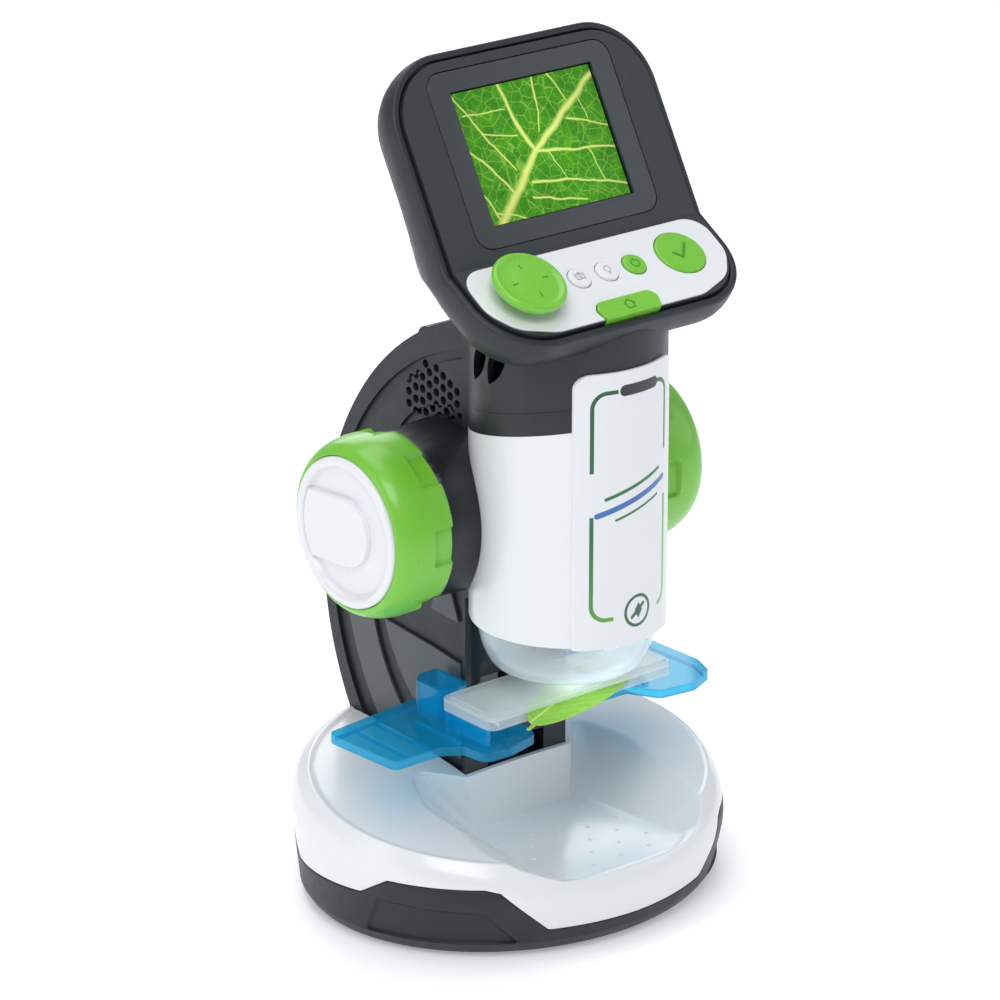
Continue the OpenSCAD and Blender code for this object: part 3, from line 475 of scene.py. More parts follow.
def plastic(name, col, rough=0.4, grain=0.0, gscale=2600, var=0.06, coat=0.0, sss=0.0, spec=0.5, edge_highlight=0.05):
    """Moulded plastic: faint colour drift, fine surface grain, slight roughness changes, and a painted highlight that
    lightens convex edges.
    """
    t = NT(name)
    drift = t.noise(38, 3, 0.55)
    hi = tuple(min(1, c * (1 + var) + 0.004) for c in col)
    lo = tuple(c * (1 - var) for c in col)
    base = t.mix(drift, lo, hi)
    # painted highlight: convex edges (high pointiness) get a lighter colour, standing in for the light that catches
    # rounded edges
    if edge_highlight:
        geo = t.n("ShaderNodeNewGeometry")
        edge = t.range(geo.outputs["Pointiness"], 0.505, 0.56, 0.0, edge_highlight)
        base = t.mix(edge, base, tuple(min(1, c * 1.5 + 0.05) for c in col))
    fine = t.noise(gscale, 2, 0.6)
    r = t.range(t.noise(220, 4, 0.6), 0.3, 0.7, rough * 0.88, min(1, rough * 1.12))
    kw = dict(Base_Color=base, Roughness=r, Specular_IOR_Level=spec)
    if coat:
        kw.update(Coat_Weight=coat, Coat_Roughness=0.12)
    if sss:
        kw.update(Subsurface_Weight=sss, Subsurface_Scale=0.004, Subsurface_Radius=(1, 0.8, 0.6))
    b = t.bsdf(**kw)
    h = fine if grain else t.noise(900, 3, 0.5)
    t.link(t.bump(h, grain if grain else 0.018, 0.00012), b.inputs["Normal"])
    return t.m


def clear_plastic(name, tint, rough=0.08, absorb=0.0, mixw=0.35, edge=(1, 1, 1), body_col=None):
    """Thin clear moulding: mostly see-through, with gloss, a tint that deepens at grazing angles and faint haze."""
    t = NT(name)
    lw = t.n("ShaderNodeLayerWeight")
    lw.inputs["Blend"].default_value = 0.35
    haze = t.noise(160, 4, 0.6)
    rg = t.range(haze, 0.3, 0.7, rough * 0.8, rough * 1.3)
    tr = t.n("ShaderNodeBsdfTransparent")
    lp = t.n("ShaderNodeLightPath")
    sh = lp.outputs["Is Shadow Ray"]
    seen = t.mix(t.math("MULTIPLY", lw.outputs["Facing"], 0.9), tint, tuple(c * 0.9 for c in tint))
    t.put(tr.inputs[0], t.mix(sh, seen, tuple(0.72 + 0.26 * c for c in tint)))
    body = t.n("ShaderNodeBsdfPrincipled")
    t.put(body.inputs["Base Color"], t.mix(lw.outputs["Facing"], body_col or tuple(c * 0.96 for c in tint), edge))
    t.put(body.inputs["Roughness"], rg)
    body.inputs["Specular IOR Level"].default_value = 0.6
    body.inputs["Coat Weight"].default_value = 0.4
    f = t.math("ADD", t.math("MULTIPLY", lw.outputs["Facing"], 0.55), mixw, cl=True)
    f = t.math("MULTIPLY", f, t.math("SUBTRACT", 1.0, t.math("MULTIPLY", sh, 0.85)))
    mx = t.n("ShaderNodeMixShader")
    t.link(f, mx.inputs[0])
    t.link(tr.outputs[0], mx.inputs[1])
    t.link(body.outputs[0], mx.inputs[2])
    t.link(mx.outputs[0], t.out.inputs[0])
    t.link(t.bump(t.noise(420, 3, 0.5), 0.02, 0.0001), body.inputs["Normal"])
    return t.m


def metal(name, col, rough=0.3, scale=900, stretch=(1, 1, 1), bump=0.05):
    t = NT(name)
    mp = t.n("ShaderNodeMapping")
    t.link(t.co, mp.inputs[0])
    mp.inputs["Scale"].default_value = stretch
    h = t.noise(scale, 3, 0.6, vec=mp.outputs[0])
    b = t.bsdf(Base_Color=t.mix(t.noise(60, 3), tuple(c * 0.85 for c in col), col), Metallic=1.0,
               Roughness=t.range(h, 0.3, 0.7, rough * 0.8, rough * 1.25))
    t.link(t.bump(h, bump, 0.0001), b.inputs["Normal"])
    return t.m


def board_mat():
    t = NT("board")
    mp = t.n("ShaderNodeTexBrick")
    t.link(t.co, mp.inputs["Vector"])
    mp.inputs["Scale"].default_value = 160
    mp.inputs["Color1"].default_value = (0.01, 0.13, 0.05, 1)
    mp.inputs["Color2"].default_value = (0.012, 0.16, 0.06, 1)
    mp.inputs["Mortar"].default_value = (0.03, 0.25, 0.09, 1)
    b = t.bsdf(Base_Color=mp.outputs[0], Roughness=0.35)
    t.link(t.bump(t.noise(800), 0.05, 0.0001), b.inputs["Normal"])
    return t.m


def cell_mat():
    t = NT("cell")
    z = t.xyz()[1]
    k = t.math("LESS_THAN", t.math("ABSOLUTE", z), 0.0125)
    base = t.mix(k, (0.62, 0.3, 0.07), (0.02, 0.022, 0.03))
    t.bsdf(Base_Color=base, Roughness=t.range(t.noise(200), 0.3, 0.7, 0.22, 0.34), Metallic=0.35)
    return t.m


def leaf_mat():
    """Fresh leaf: midrib and side veins are lighter, the blade is mottled."""
    t = NT("leaf")
    mp = t.n("ShaderNodeMapping", vector_type="POINT")
    t.link(t.co, mp.inputs[0])
    mp.inputs["Location"].default_value = (0, 0, 0)
    x, y, z = t.xyz()
    # leaf axes: along the midrib and across it
    c, s = cos(math.radians(24)), sin(math.radians(24))
    px = t.math("SUBTRACT", x, 0.002)
    py = t.math("ADD", y, 0.0254)
    u = t.math("ADD", t.math("MULTIPLY", px, c), t.math("MULTIPLY", py, s))
    v = t.math("SUBTRACT", t.math("MULTIPLY", py, c), t.math("MULTIPLY", px, s))
    av = t.math("ABSOLUTE", v)
    mid = t.math("SUBTRACT", 1.0, t.math("DIVIDE", av, 0.0005), cl=True)
    ph = t.math("MULTIPLY", t.math("SUBTRACT", u, t.math("MULTIPLY", av, 1.15)), 1 / 0.0046)
    fr = t.math("ABSOLUTE", t.math("SUBTRACT", t.math("FRACT", ph), 0.5))
    side = t.math("SUBTRACT", 1.0, t.math("DIVIDE", fr, 0.055), cl=True)
    net = t.math("SUBTRACT", 1.0, t.math("MULTIPLY", t.voronoi(900, "DISTANCE_TO_EDGE"), 14), cl=True)
    vein = t.math("MAXIMUM", t.math("MAXIMUM", mid, t.math("MULTIPLY", side, 0.6)), t.math("MULTIPLY", net, 0.22))
    blade = t.mix(t.noise(260, 4), (0.16, 0.42, 0.025), (0.36, 0.66, 0.07))
    base = t.mix(vein, blade, (0.72, 0.86, 0.36))
    b = t.bsdf(Base_Color=base, Roughness=0.42, Subsurface_Weight=0.35, Subsurface_Scale=0.002, Subsurface_Radius=(0.5, 1, 0.2))
    t.link(t.bump(vein, 0.25, 0.0002), b.inputs["Normal"])
    return t.m


def display_mat():
    """Lit colour display showing a magnified leaf, drawn from maths in the screen's own axes."""
    t = NT("display")
    rel = t.vmath("SUBTRACT", t.co, tuple(v * MM for v in SCR.o))
    u = t.math("MULTIPLY", t.vmath("DOT_PRODUCT", rel, tuple(SCR.x)), 1000.0)
    v = t.math("MULTIPLY", t.vmath("DOT_PRODUCT", rel, tuple(SCR.y)), 1000.0)
    cmb = t.n("ShaderNodeCombineXYZ")
    t.link(u, cmb.inputs[0])
    t.link(v, cmb.inputs[1])
    p0 = cmb.outputs[0]
    warp = t.vmath("SUBTRACT", t.noise(0.11, 2, 0.5, vec=p0, out="Color"), (0.5, 0.5, 0.5))
    sc = t.n("ShaderNodeVectorMath", operation="SCALE")
    t.link(warp, sc.inputs[0])
    sc.inputs["Scale"].default_value = 2.2
    p = t.vmath("ADD", p0, sc.outputs[0])
    x, y, _ = t.xyz(p)

    def seg(ax, ay, bx, by, w0, w1):
        """1 on a tapering line from a to b."""
        dx, dy = bx - ax, by - ay
        L2 = dx * dx + dy * dy
        qx, qy = t.math("SUBTRACT", x, ax), t.math("SUBTRACT", y, ay)
        h = t.math("DIVIDE", t.math("ADD", t.math("MULTIPLY", qx, dx), t.math("MULTIPLY", qy, dy)), L2, cl=True)
        ex = t.math("SUBTRACT", qx, t.math("MULTIPLY", h, dx))
        ey = t.math("SUBTRACT", qy, t.math("MULTIPLY", h, dy))
        d = t.math("SQRT", t.math("ADD", t.math("MULTIPLY", ex, ex), t.math("MULTIPLY", ey, ey)))
        w = t.math("ADD", t.math("MULTIPLY", h, w1 - w0), w0)
        return t.math("SUBTRACT", 1.25, t.math("DIVIDE", d, w), cl=True)

    main = None
    for a in [(-21.2, -19.2, -2.3, -1.2, 1.45, 1.15), (-2.3, -1.2, 24.6, 16.2, 1.1, 0.85), (-2.3, -1.2, -5.6, 6.6, 0.75, 0.65), (-5.6, 6.6, -7.8, 19, 0.65, 0.5),
              (-1.5, -1.4, 10, -3.2, 0.5, 0.42), (10, -3.2, 25, -4.9, 0.42, 0.32), (-6.5, -8.9, 8, -11.2, 0.45, 0.36), (8, -11.2, 24, -15, 0.36, 0.3),
              (-25, 5, -18.5, -3, 0.3, 0.34), (-18.5, -3, -13.6, -10.6, 0.34, 0.42), (-23, 17.6, -17.4, 6, 0.32, 0.36), (-17.4, 6, -10.6, -5, 0.36, 0.28),
              (-25, -5.5, -20.4, -17, 0.24, 0.3), (3.7, 18.6, 2.8, 8.6, 0.34, 0.26), (2.8, 8.6, 0.7, 3.5, 0.26, 0.2), (9.2, 18.4, 12.6, 9.8, 0.32, 0.26),
              (11.2, 5.2, 24, 1.2, 0.3, 0.24), (-7.9, -13, 9, -17, 0.34, 0.26), (-20.8, -15.2, -11, -18.6, 0.3, 0.24), (-17.4, 6, -6.2, 3.8, 0.26, 0.2),
              (15, -4, 17, -13, 0.22, 0.18), (2, -2, 5, -10.6, 0.2, 0.16), (16.5, 11.4, 18, 2.8, 0.2, 0.16), (-22, 11.5, -8, 11, 0.24, 0.18)]:
        q = seg(*a)
        main = q if main is None else t.math("MAXIMUM", main, q)
    e1 = t.math("SUBTRACT", 1.0, t.math("MULTIPLY", t.voronoi(0.30, "DISTANCE_TO_EDGE", vec=p), 22), cl=True)
    e2 = t.math("SUBTRACT", 1.0, t.math("MULTIPLY", t.voronoi(1.5, "DISTANCE_TO_EDGE", vec=p), 7), cl=True)
    net = t.math("MAXIMUM", t.math("MULTIPLY", e1, 0.62), t.math("MULTIPLY", e2, 0.20))
    blade = t.ramp(t.noise(0.17, 5, 0.62, vec=p0), [(0.3, (0.010, 0.15, 0.0005)), (0.5, (0.035, 0.31, 0.001)), (0.7, (0.13, 0.52, 0.004))])
    blade = t.mix(t.range(t.noise(2.6, 2, 0.7, vec=p0), 0.35, 0.7, 0.0, 0.75), blade, (0.02, 0.22, 0.001))
    col = t.mix(net, blade, (0.42, 0.76, 0.10))
    col = t.mix(main, col, (0.80, 0.93, 0.24))
    # the picture is brighter towards its middle
    r = t.math("SQRT", t.math("ADD", t.math("MULTIPLY", u, u), t.math("MULTIPLY", v, v)))
    glow = t.range(r, 4, 30, 1.0, 0.72)
    px = t.math("MULTIPLY", t.math("SINE", t.math("MULTIPLY", u, 2 * pi / 0.15)), 0.02)
    st = t.math("ADD", glow, px)
    inside = t.math("MULTIPLY", t.math("LESS_THAN", t.math("ABSOLUTE", u), 23.7), t.math("LESS_THAN", t.math("ABSOLUTE", v), 18.1))
    col = t.mix(inside, (0.004, 0.005, 0.006), col)
    b = t.bsdf(Base_Color=(0.004, 0.005, 0.005), Roughness=0.3, Specular_IOR_Level=0.12)
    t.link(col, b.inputs["Emission Color"])
    t.link(t.math("MULTIPLY", st, t.math("ADD", t.math("MULTIPLY", inside, 0.98), 0.02)), b.inputs["Emission Strength"])
    return t.m


def shield_mat():
    """Glossy white with a printed round-cornered frame line, broken where the real one carries lettering."""
    t = NT("shield_print")
    x, y, z = t.xyz()
    ang = t.math("ARCTAN2", x, t.math("MULTIPLY", t.math("ADD", y, 0.025), -1.0))
    u = t.math("MULTIPLY", ang, 27.5)
    v = t.math("SUBTRACT", t.math("MULTIPLY", z, 1000.0), 125.4)
    cx, cy, rr = 13.0, 31.8, 4.2
    qx = t.math("SUBTRACT", t.math("ABSOLUTE", u), cx - rr)
    qy = t.math("SUBTRACT", t.math("ABSOLUTE", v), cy - rr)
    mx, my = t.math("MAXIMUM", qx, 0.0), t.math("MAXIMUM", qy, 0.0)
    d = t.math("SUBTRACT", t.math("ADD", t.math("SQRT", t.math("ADD", t.math("MULTIPLY", mx, mx), t.math("MULTIPLY", my, my))),
                                  t.math("MINIMUM", t.math("MAXIMUM", qx, qy), 0.0)), rr)
    line = t.math("SUBTRACT", 1.0, t.math("MULTIPLY", t.math("SUBTRACT", t.math("ABSOLUTE", d), 0.52), 9.0), cl=True)

    def band(v, lo, hi):
        return t.math("MULTIPLY", t.math("GREATER_THAN", v, lo), t.math("LESS_THAN", v, hi))

    inv = lambda a: t.math("SUBTRACT", 1.0, a)
    gap = t.math("MULTIPLY", band(u, -5.6, 8.2), t.math("GREATER_THAN", v, 20.0))
    gap2 = t.math("MULTIPLY", band(u, -6.6, 9.8), t.math("LESS_THAN", v, -20.0))
    gap3 = t.math("MULTIPLY", band(v, -2.4, 9.8), t.math("LESS_THAN", u, 0.0))
    gap4 = t.math("MULTIPLY", band(v, -1.2, 11.5), t.math("GREATER_THAN", u, 0.0))
    for g in (gap, gap2, gap3, gap4):
        line = t.math("MULTIPLY", line, inv(g))

    def stripe(ax, ay, bx, by, hw):
        dx, dy = bx - ax, by - ay
        L2 = dx * dx + dy * dy
        qx, qy = t.math("SUBTRACT", u, ax), t.math("SUBTRACT", v, ay)
        h = t.math("DIVIDE", t.math("ADD", t.math("MULTIPLY", qx, dx), t.math("MULTIPLY", qy, dy)), L2, cl=True)
        ex, ey = t.math("SUBTRACT", qx, t.math("MULTIPLY", h, dx)), t.math("SUBTRACT", qy, t.math("MULTIPLY", h, dy))
        dd = t.math("SQRT", t.math("ADD", t.math("MULTIPLY", ex, ex), t.math("MULTIPLY", ey, ey)))
        return t.math("MULTIPLY", t.math("SUBTRACT", hw + 0.1, dd), 9.0, cl=True)

    bar = stripe(-3.6, 31.8, 7.0, 31.8, 1.5)
    s_blue = stripe(-11.5, -2.2, 12.2, 4.0, 0.75)
    s_green = t.math("MAXIMUM", stripe(-9.0, 2.2, 9.6, 7.1, 0.45), t.math("MAXIMUM", stripe(-6.0, -4.0, 9.0, -0.1, 0.3), 0.0))
    rx, ry = t.math("ADD", u, -1.4), t.math("ADD", v, 31.0)
    rd = t.math("SQRT", t.math("ADD", t.math("MULTIPLY", rx, rx), t.math("MULTIPLY", ry, ry)))
    ring = t.math("MULTIPLY", t.math("SUBTRACT", 0.5, t.math("ABSOLUTE", t.math("SUBTRACT", rd, 4.2))), 9.0, cl=True)
    lf = t.math("MAXIMUM", stripe(-0.6, -32.6, 3.4, -29.4, 0.45), t.math("MULTIPLY", t.math("SUBTRACT", 1.5, t.math("ADD", t.math("ABSOLUTE", t.math("SUBTRACT", rx, 0.2)), t.math("MULTIPLY", t.math("ABSOLUTE", ry), 0.62))), 6.0, cl=True))
    ring = t.math("MAXIMUM", ring, lf)
    green = t.ramp(t.range(t.math("SUBTRACT", t.math("MULTIPLY", u, 0.6), t.math("MULTIPLY", v, 0.55)), -22, 22, 0, 1),
                   [(0.0, (0.006, 0.10, 0.035)), (0.45, (0.012, 0.16, 0.05)), (1.0, (0.13, 0.50, 0.03))])
    drift = t.noise(38, 3, 0.55)
    base = t.mix(drift, (0.80, 0.815, 0.845), (0.86, 0.87, 0.89))
    base = t.mix(line, base, green)
    base = t.mix(bar, base, (0.010, 0.016, 0.014))
    base = t.mix(s_green, base, (0.012, 0.17, 0.05))
    base = t.mix(s_blue, base, (0.03, 0.16, 0.48))
    base = t.mix(ring, base, (0.012, 0.13, 0.05))
    b = t.bsdf(Base_Color=base, Roughness=t.range(t.noise(220, 4, 0.6), 0.3, 0.7, 0.2, 0.27), Coat_Weight=0.35)
    t.link(t.bump(t.noise(900, 3), 0.015, 0.0001), b.inputs["Normal"])
    return t.m


CHAR = plastic("charcoal", (0.0098, 0.0138, 0.0190), 0.46, grain=0.22, gscale=3000, var=0.1, edge_highlight=0.12)
CHAR_FACE = plastic("charcoal_face", (0.0190, 0.0240, 0.0300), 0.44, grain=0.28, gscale=3400, var=0.1, edge_highlight=0.1)
CHAR_DARK = plastic("charcoal_dark", (0.012, 0.014, 0.017), 0.40, grain=0.12, gscale=3000, var=0.1, edge_highlight=0.08)
WHITE = plastic("white_gloss", (0.83, 0.845, 0.875), 0.24, var=0.02, coat=0.35, edge_highlight=0.0)
GREEN = plastic("green", (0.185, 0.560, 0.038), 0.30, var=0.05, coat=0.2, sss=0.06, edge_highlight=0.05)
BLACK = plastic("black", (0.008, 0.009, 0.011), 0.36, grain=0.08, var=0.1, edge_highlight=0.1)
GREY = plastic("grey_inlay", (0.082, 0.092, 0.105), 0.36, grain=0.1, gscale=3200, var=0.05, edge_highlight=0.05)
SLATE = plastic("slate_gloss", (0.014, 0.021, 0.028), 0.20, var=0.06, coat=0.2, edge_highlight=0.0)
BLUE = clear_plastic("blue_clear", (0.34, 0.82, 0.97), 0.06, mixw=0.16, edge=(0.0, 0.20, 0.48), body_col=(0.01, 0.58, 0.95))
BLUE_DEEP = clear_plastic("blue_deep", (0.04, 0.50, 0.80), 0.07, mixw=0.30, edge=(0.0, 0.16, 0.40))
CLEAR = clear_plastic("clear_shroud", (0.95, 0.985, 1.0), 0.05, mixw=0.20, edge=(0.66, 0.78, 0.86), body_col=(0.88, 0.94, 0.98))
SLIDE = clear_plastic("clear_slide", (0.97, 0.99, 0.995), 0.09, mixw=0.13, edge=(0.80, 0.86, 0.88), body_col=(0.90, 0.94, 0.95))
GLASS = clear_plastic("lens_glass", (0.75, 0.88, 0.98), 0.03, mixw=0.2, edge=(0.3, 0.4, 0.6))
STEEL = metal("steel", (0.56, 0.57, 0.60), 0.28)
BRONZE = metal("bronze", (0.62, 0.42, 0.2), 0.35, 1400)
ACETAL = plastic("acetal", (0.78, 0.76, 0.68), 0.42, grain=0.05, var=0.04)
RUBBER = plastic("rubber", (0.018, 0.018, 0.019), 0.75, grain=0.3, gscale=2200, var=0.1)
LEAD = plastic("lead", (0.32, 0.02, 0.02), 0.45, grain=0.06)
BOARD, CELL, LEAF, DISPLAY, SHIELD = board_mat(), cell_mat(), leaf_mat(), display_mat(), shield_mat()
GLYPH_D = plastic("glyph_dark_green", (0.055, 0.30, 0.012), 0.35, var=0.05)
GLYPH_G = plastic("glyph_grey", (0.42, 0.44, 0.47), 0.4, var=0.05)

SLOTMAT = {"charcoal": CHAR, "white": WHITE, "green": GREEN, "black": BLACK, "grey": GREY, "blue_clear": BLUE, "clear": CLEAR,
           "lens_glass": GLASS, "slate": SLATE, "display": DISPLAY, "board": BOARD, "steel": STEEL, "bronze": BRONZE,
           "acetal": ACETAL, "rubber": RUBBER, "cell": CELL, "lead": LEAD, "leaf": LEAF}
SLOT_OF = {p["node"]: p["material_slot"] for p in frame["record"]["subparts"]}
for name, o in frame["nodes"].items():
    o.data.materials.clear()
    o.data.materials.append(SLOTMAT[SLOT_OF[name]])


# ------------------------------------------------------------------ camera, light, floor
def look(o, tgt):
    d = Vector(tgt) - o.location
    o.rotation_mode = "QUATERNION"
    o.rotation_quaternion = d.to_track_quat("-Z", "Y")


cam_d = bpy.data.cameras.new("camera")
cam_d.sensor_width = 36
cam_d.lens = 172.8
cam_d.clip_start = 0.05
cam_d.clip_end = 20
cam = bpy.data.objects.new("camera", cam_d)
SC.collection.objects.link(cam)
cam.location = (-0.7821, -0.9420, 0.5697)
look(cam, (-0.02343, -0.025, 0.1236))
SC.camera = cam


def area(name, loc, tgt, size, power, col=(1, 1, 1), sy=None):
    d = bpy.data.lights.new(name, "AREA")
    d.shape = "RECTANGLE"
    d.size = size
    d.size_y = sy or size
    d.energy = power
    d.color = col
    o = bpy.data.objects.new(name, d)
    SC.collection.objects.link(o)
    o.location = loc
    look(o, tgt)
    return o


area("key", (-0.55, -0.50, 0.95), (0, 0, 0.12), 0.55, 4.2, (1, 0.985, 0.965))
area("fill_right", (0.95, -0.55, 0.55), (0, 0, 0.12), 0.7, 1.6, (0.96, 0.98, 1))
area("top", (0.05, 0.25, 1.1), (0, 0, 0.1), 0.8, 4.0)
area("rim_back", (0.5, 0.9, 0.6), (0, 0, 0.15), 0.6, 2.5)
area("side_left", (-1.05, 0.15, 0.45), (0, 0, 0.12), 0.5, 1.6, (1, 1, 1), 0.9)
w = bpy.data.worlds.new("studio")
SC.world = w
w.use_nodes = True
wn = w.node_tree.nodes
wn["Background"].inputs[0].default_value = (0.93, 0.95, 1.0, 1)
wn["Background"].inputs[1].default_value = 0.42
SC.view_settings.view_transform = "Standard"
SC.view_settings.look = "None"
SC.view_settings.exposure = 0.0

t = NT("floor")
fl = t.mix(t.noise(3.0, 2, 0.5), (0.89, 0.895, 0.90), (0.92, 0.925, 0.93))
t.bsdf(Base_Color=fl, Emission_Color=(0.97, 0.985, 1.0), Emission_Strength=0.30, Roughness=t.range(t.noise(30, 3), 0.3, 0.7, 0.5, 0.58), Specular_IOR_Level=0.25)
FLOOR = t.m
fr_, fn_ = 4.0, 96
me = bpy.data.meshes.new("floor")
me.from_pydata([(fr_ * cos(2 * pi * i / fn_), fr_ * sin(2 * pi * i / fn_), -0.0002) for i in range(fn_)], [], [tuple(range(fn_))])
me.materials.append(FLOOR)
fo = bpy.data.objects.new("floor", me)
SC.collection.objects.link(fo)

# ------------------------------------------------------------------ base
KT = 0.14
K = [(1.2, 59.2, 51.4, -0.8, 0), (4.5, 61.3, 53.8, -0.8, 0), (24, 62.5, 57.8, 0, KT), (29.5, 61.4, 55.2, -0.6, KT), (32.8, 59.2, 50.6, -1, KT)]


def part_z(t):
    u = abs((math.degrees(t) + 180) % 360 - 180)
    return lookup(u, [(0, 7.6), (26, 8), (39, 20), (43, 21), (70, 21), (79, 15.5), (112, 13.2), (121, 21), (150, 21), (160, 11), (180, 10.5)])


def krow(k, t, w=0.0):
    x, y = (k[1] - w) * sin(t), k[3] - (k[2] - w) * cos(t)
    return Vector((x, y, k[0] + k[4] * y))


def wall_pts(t, w=0.0):
    return [Vector(p) for p in soften([krow(k, t, w) for k in K[1:]], [9, 2.6], 8)]


def on_wall(pts, z):
    """Point at height z on a wall profile, straight below its first point."""
    if z <= pts[0].z:
        return Vector((pts[0].x, pts[0].y, z))
    for a, b in zip(pts, pts[1:]):
        if z <= b.z:
            return a.lerp(b, (z - a.z) / max(b.z - a.z, 1e-9))
    return pts[-1].copy()


def polar(poly, c, n=1440):
    """Distance from c to a star-shaped outline, by direction."""
    pts = [Vector(p) - c for p in poly]
    out = []
    for k in range(n):
        a = 2 * pi * k / n
        d = Vector((cos(a), sin(a)))
        best = None
        for i, p in enumerate(pts):
            q = pts[(i + 1) % len(pts)]
            e = q - p
            den = d.x * e.y - d.y * e.x
            if abs(den) < 1e-12:
                continue
            s = (p.x * e.y - p.y * e.x) / den
            u = (p.x * d.y - p.y * d.x) / den
            if s > 0 and -1e-9 <= u <= 1 + 1e-9 and (best is None or s < best):
                best = s
        out.append(best if best is not None else out[-1])
    return out


def psample(tab, a):
    n = len(tab)
    f = (a / (2 * pi) * n) % n
    i = int(f)
    return lerp(tab[i % n], tab[(i + 1) % n], f - i)


TC = Vector((0.0, -27.0))
TRAY_Z = 20.0
half_t = [(21, -58.6), (34, -45), (37, -9), (31, 4.2), (25.4, 4.2), (18.9, -4.9)]
half_f = [(17, -50.8), (24, -45.5), (20.6, -10.5), (17.6, -7.2)]
TRr = [4, 7, 9, 4, 0.6, 1.5]
TFr = [2.5, 2.5, 1.2, 1.2]
mouth_tab = polar(rpoly(sym(half_t), TRr + TRr[::-1], 8), TC)
floor_tab = polar(rpoly(sym(half_f), TFr + TFr[::-1], 6), TC)


def dome_z(x, y):
    k = K[4]
    f2 = (x / k[1]) ** 2 + ((y - k[3]) / k[2]) ** 2
    step = 0.4 * (1 - sstep(0.957, 0.977, f2))
    return k[0] + KT * y + 4 * (1 - min(f2, 1.0)) - step


def top_z(x, y):
    """Height of the outer skin above (x, y), on the dome or on the shoulder outside it."""
    k = K[4]
    f2 = (x / k[1]) ** 2 + ((y - k[3]) / k[2]) ** 2
    if f2 <= 1:
        return dome_z(x, y)
    t = math.atan2(x / k[1], -(y - k[3]) / k[2])
    pts = wall_pts(t)
    r = math.hypot(x, y - k[3])
    best = 22.0
    for a, b in zip(pts, pts[1:]):
        ra, rb = math.hypot(a.x, a.y - k[3]), math.hypot(b.x, b.y - k[3])
        if rb <= r <= ra or ra <= r <= rb:
            best = lerp(a.z, b.z, (r - ra) / (rb - ra) if abs(rb - ra) > 1e-9 else 0)
    return best


MZ = []
for i_ in range(360):
    a_ = 2 * pi * i_ / 360
    r_ = psample(mouth_tab, a_)
    x_, y_ = TC.x + r_ * cos(a_), TC.y + r_ * sin(a_)
    MZ.append(lookup(y_, [(-58.6, 22.3), (-50, 24.9), (-45, 26.2), (-40, 26.9), (-27, 30.2)]) if y_ < -40 else lerp(26.9, max(26.9, top_z(x_, y_)), sstep(-40, -24, y_)))


def tray_h(x, y):
    dx, dy = x - TC.x, y - TC.y
    r = math.hypot(dx, dy)
    if r < 1e-6:
        return TRAY_Z
    a = math.atan2(dy, dx) % (2 * pi)
    rf, rm, zm = psample(floor_tab, a), psample(mouth_tab, a), psample(MZ, a)
    u = (r - rf) / (rm - rf)
    slope = TRAY_Z + (zm - TRAY_Z) * u
    if y < -40:
        front = sstep(-44, -50, y)
        lip = TRAY_Z + 1.25 * sstep(rf + 0.1, rf + 2.1, r) + max(0.0, u) * 0.9
        slope = lerp(slope, lip if u > 0 else TRAY_Z - 0.5, front * (1 - sstep(19, 26, abs(x))))
    return smax(slope, TRAY_Z, 0.6)


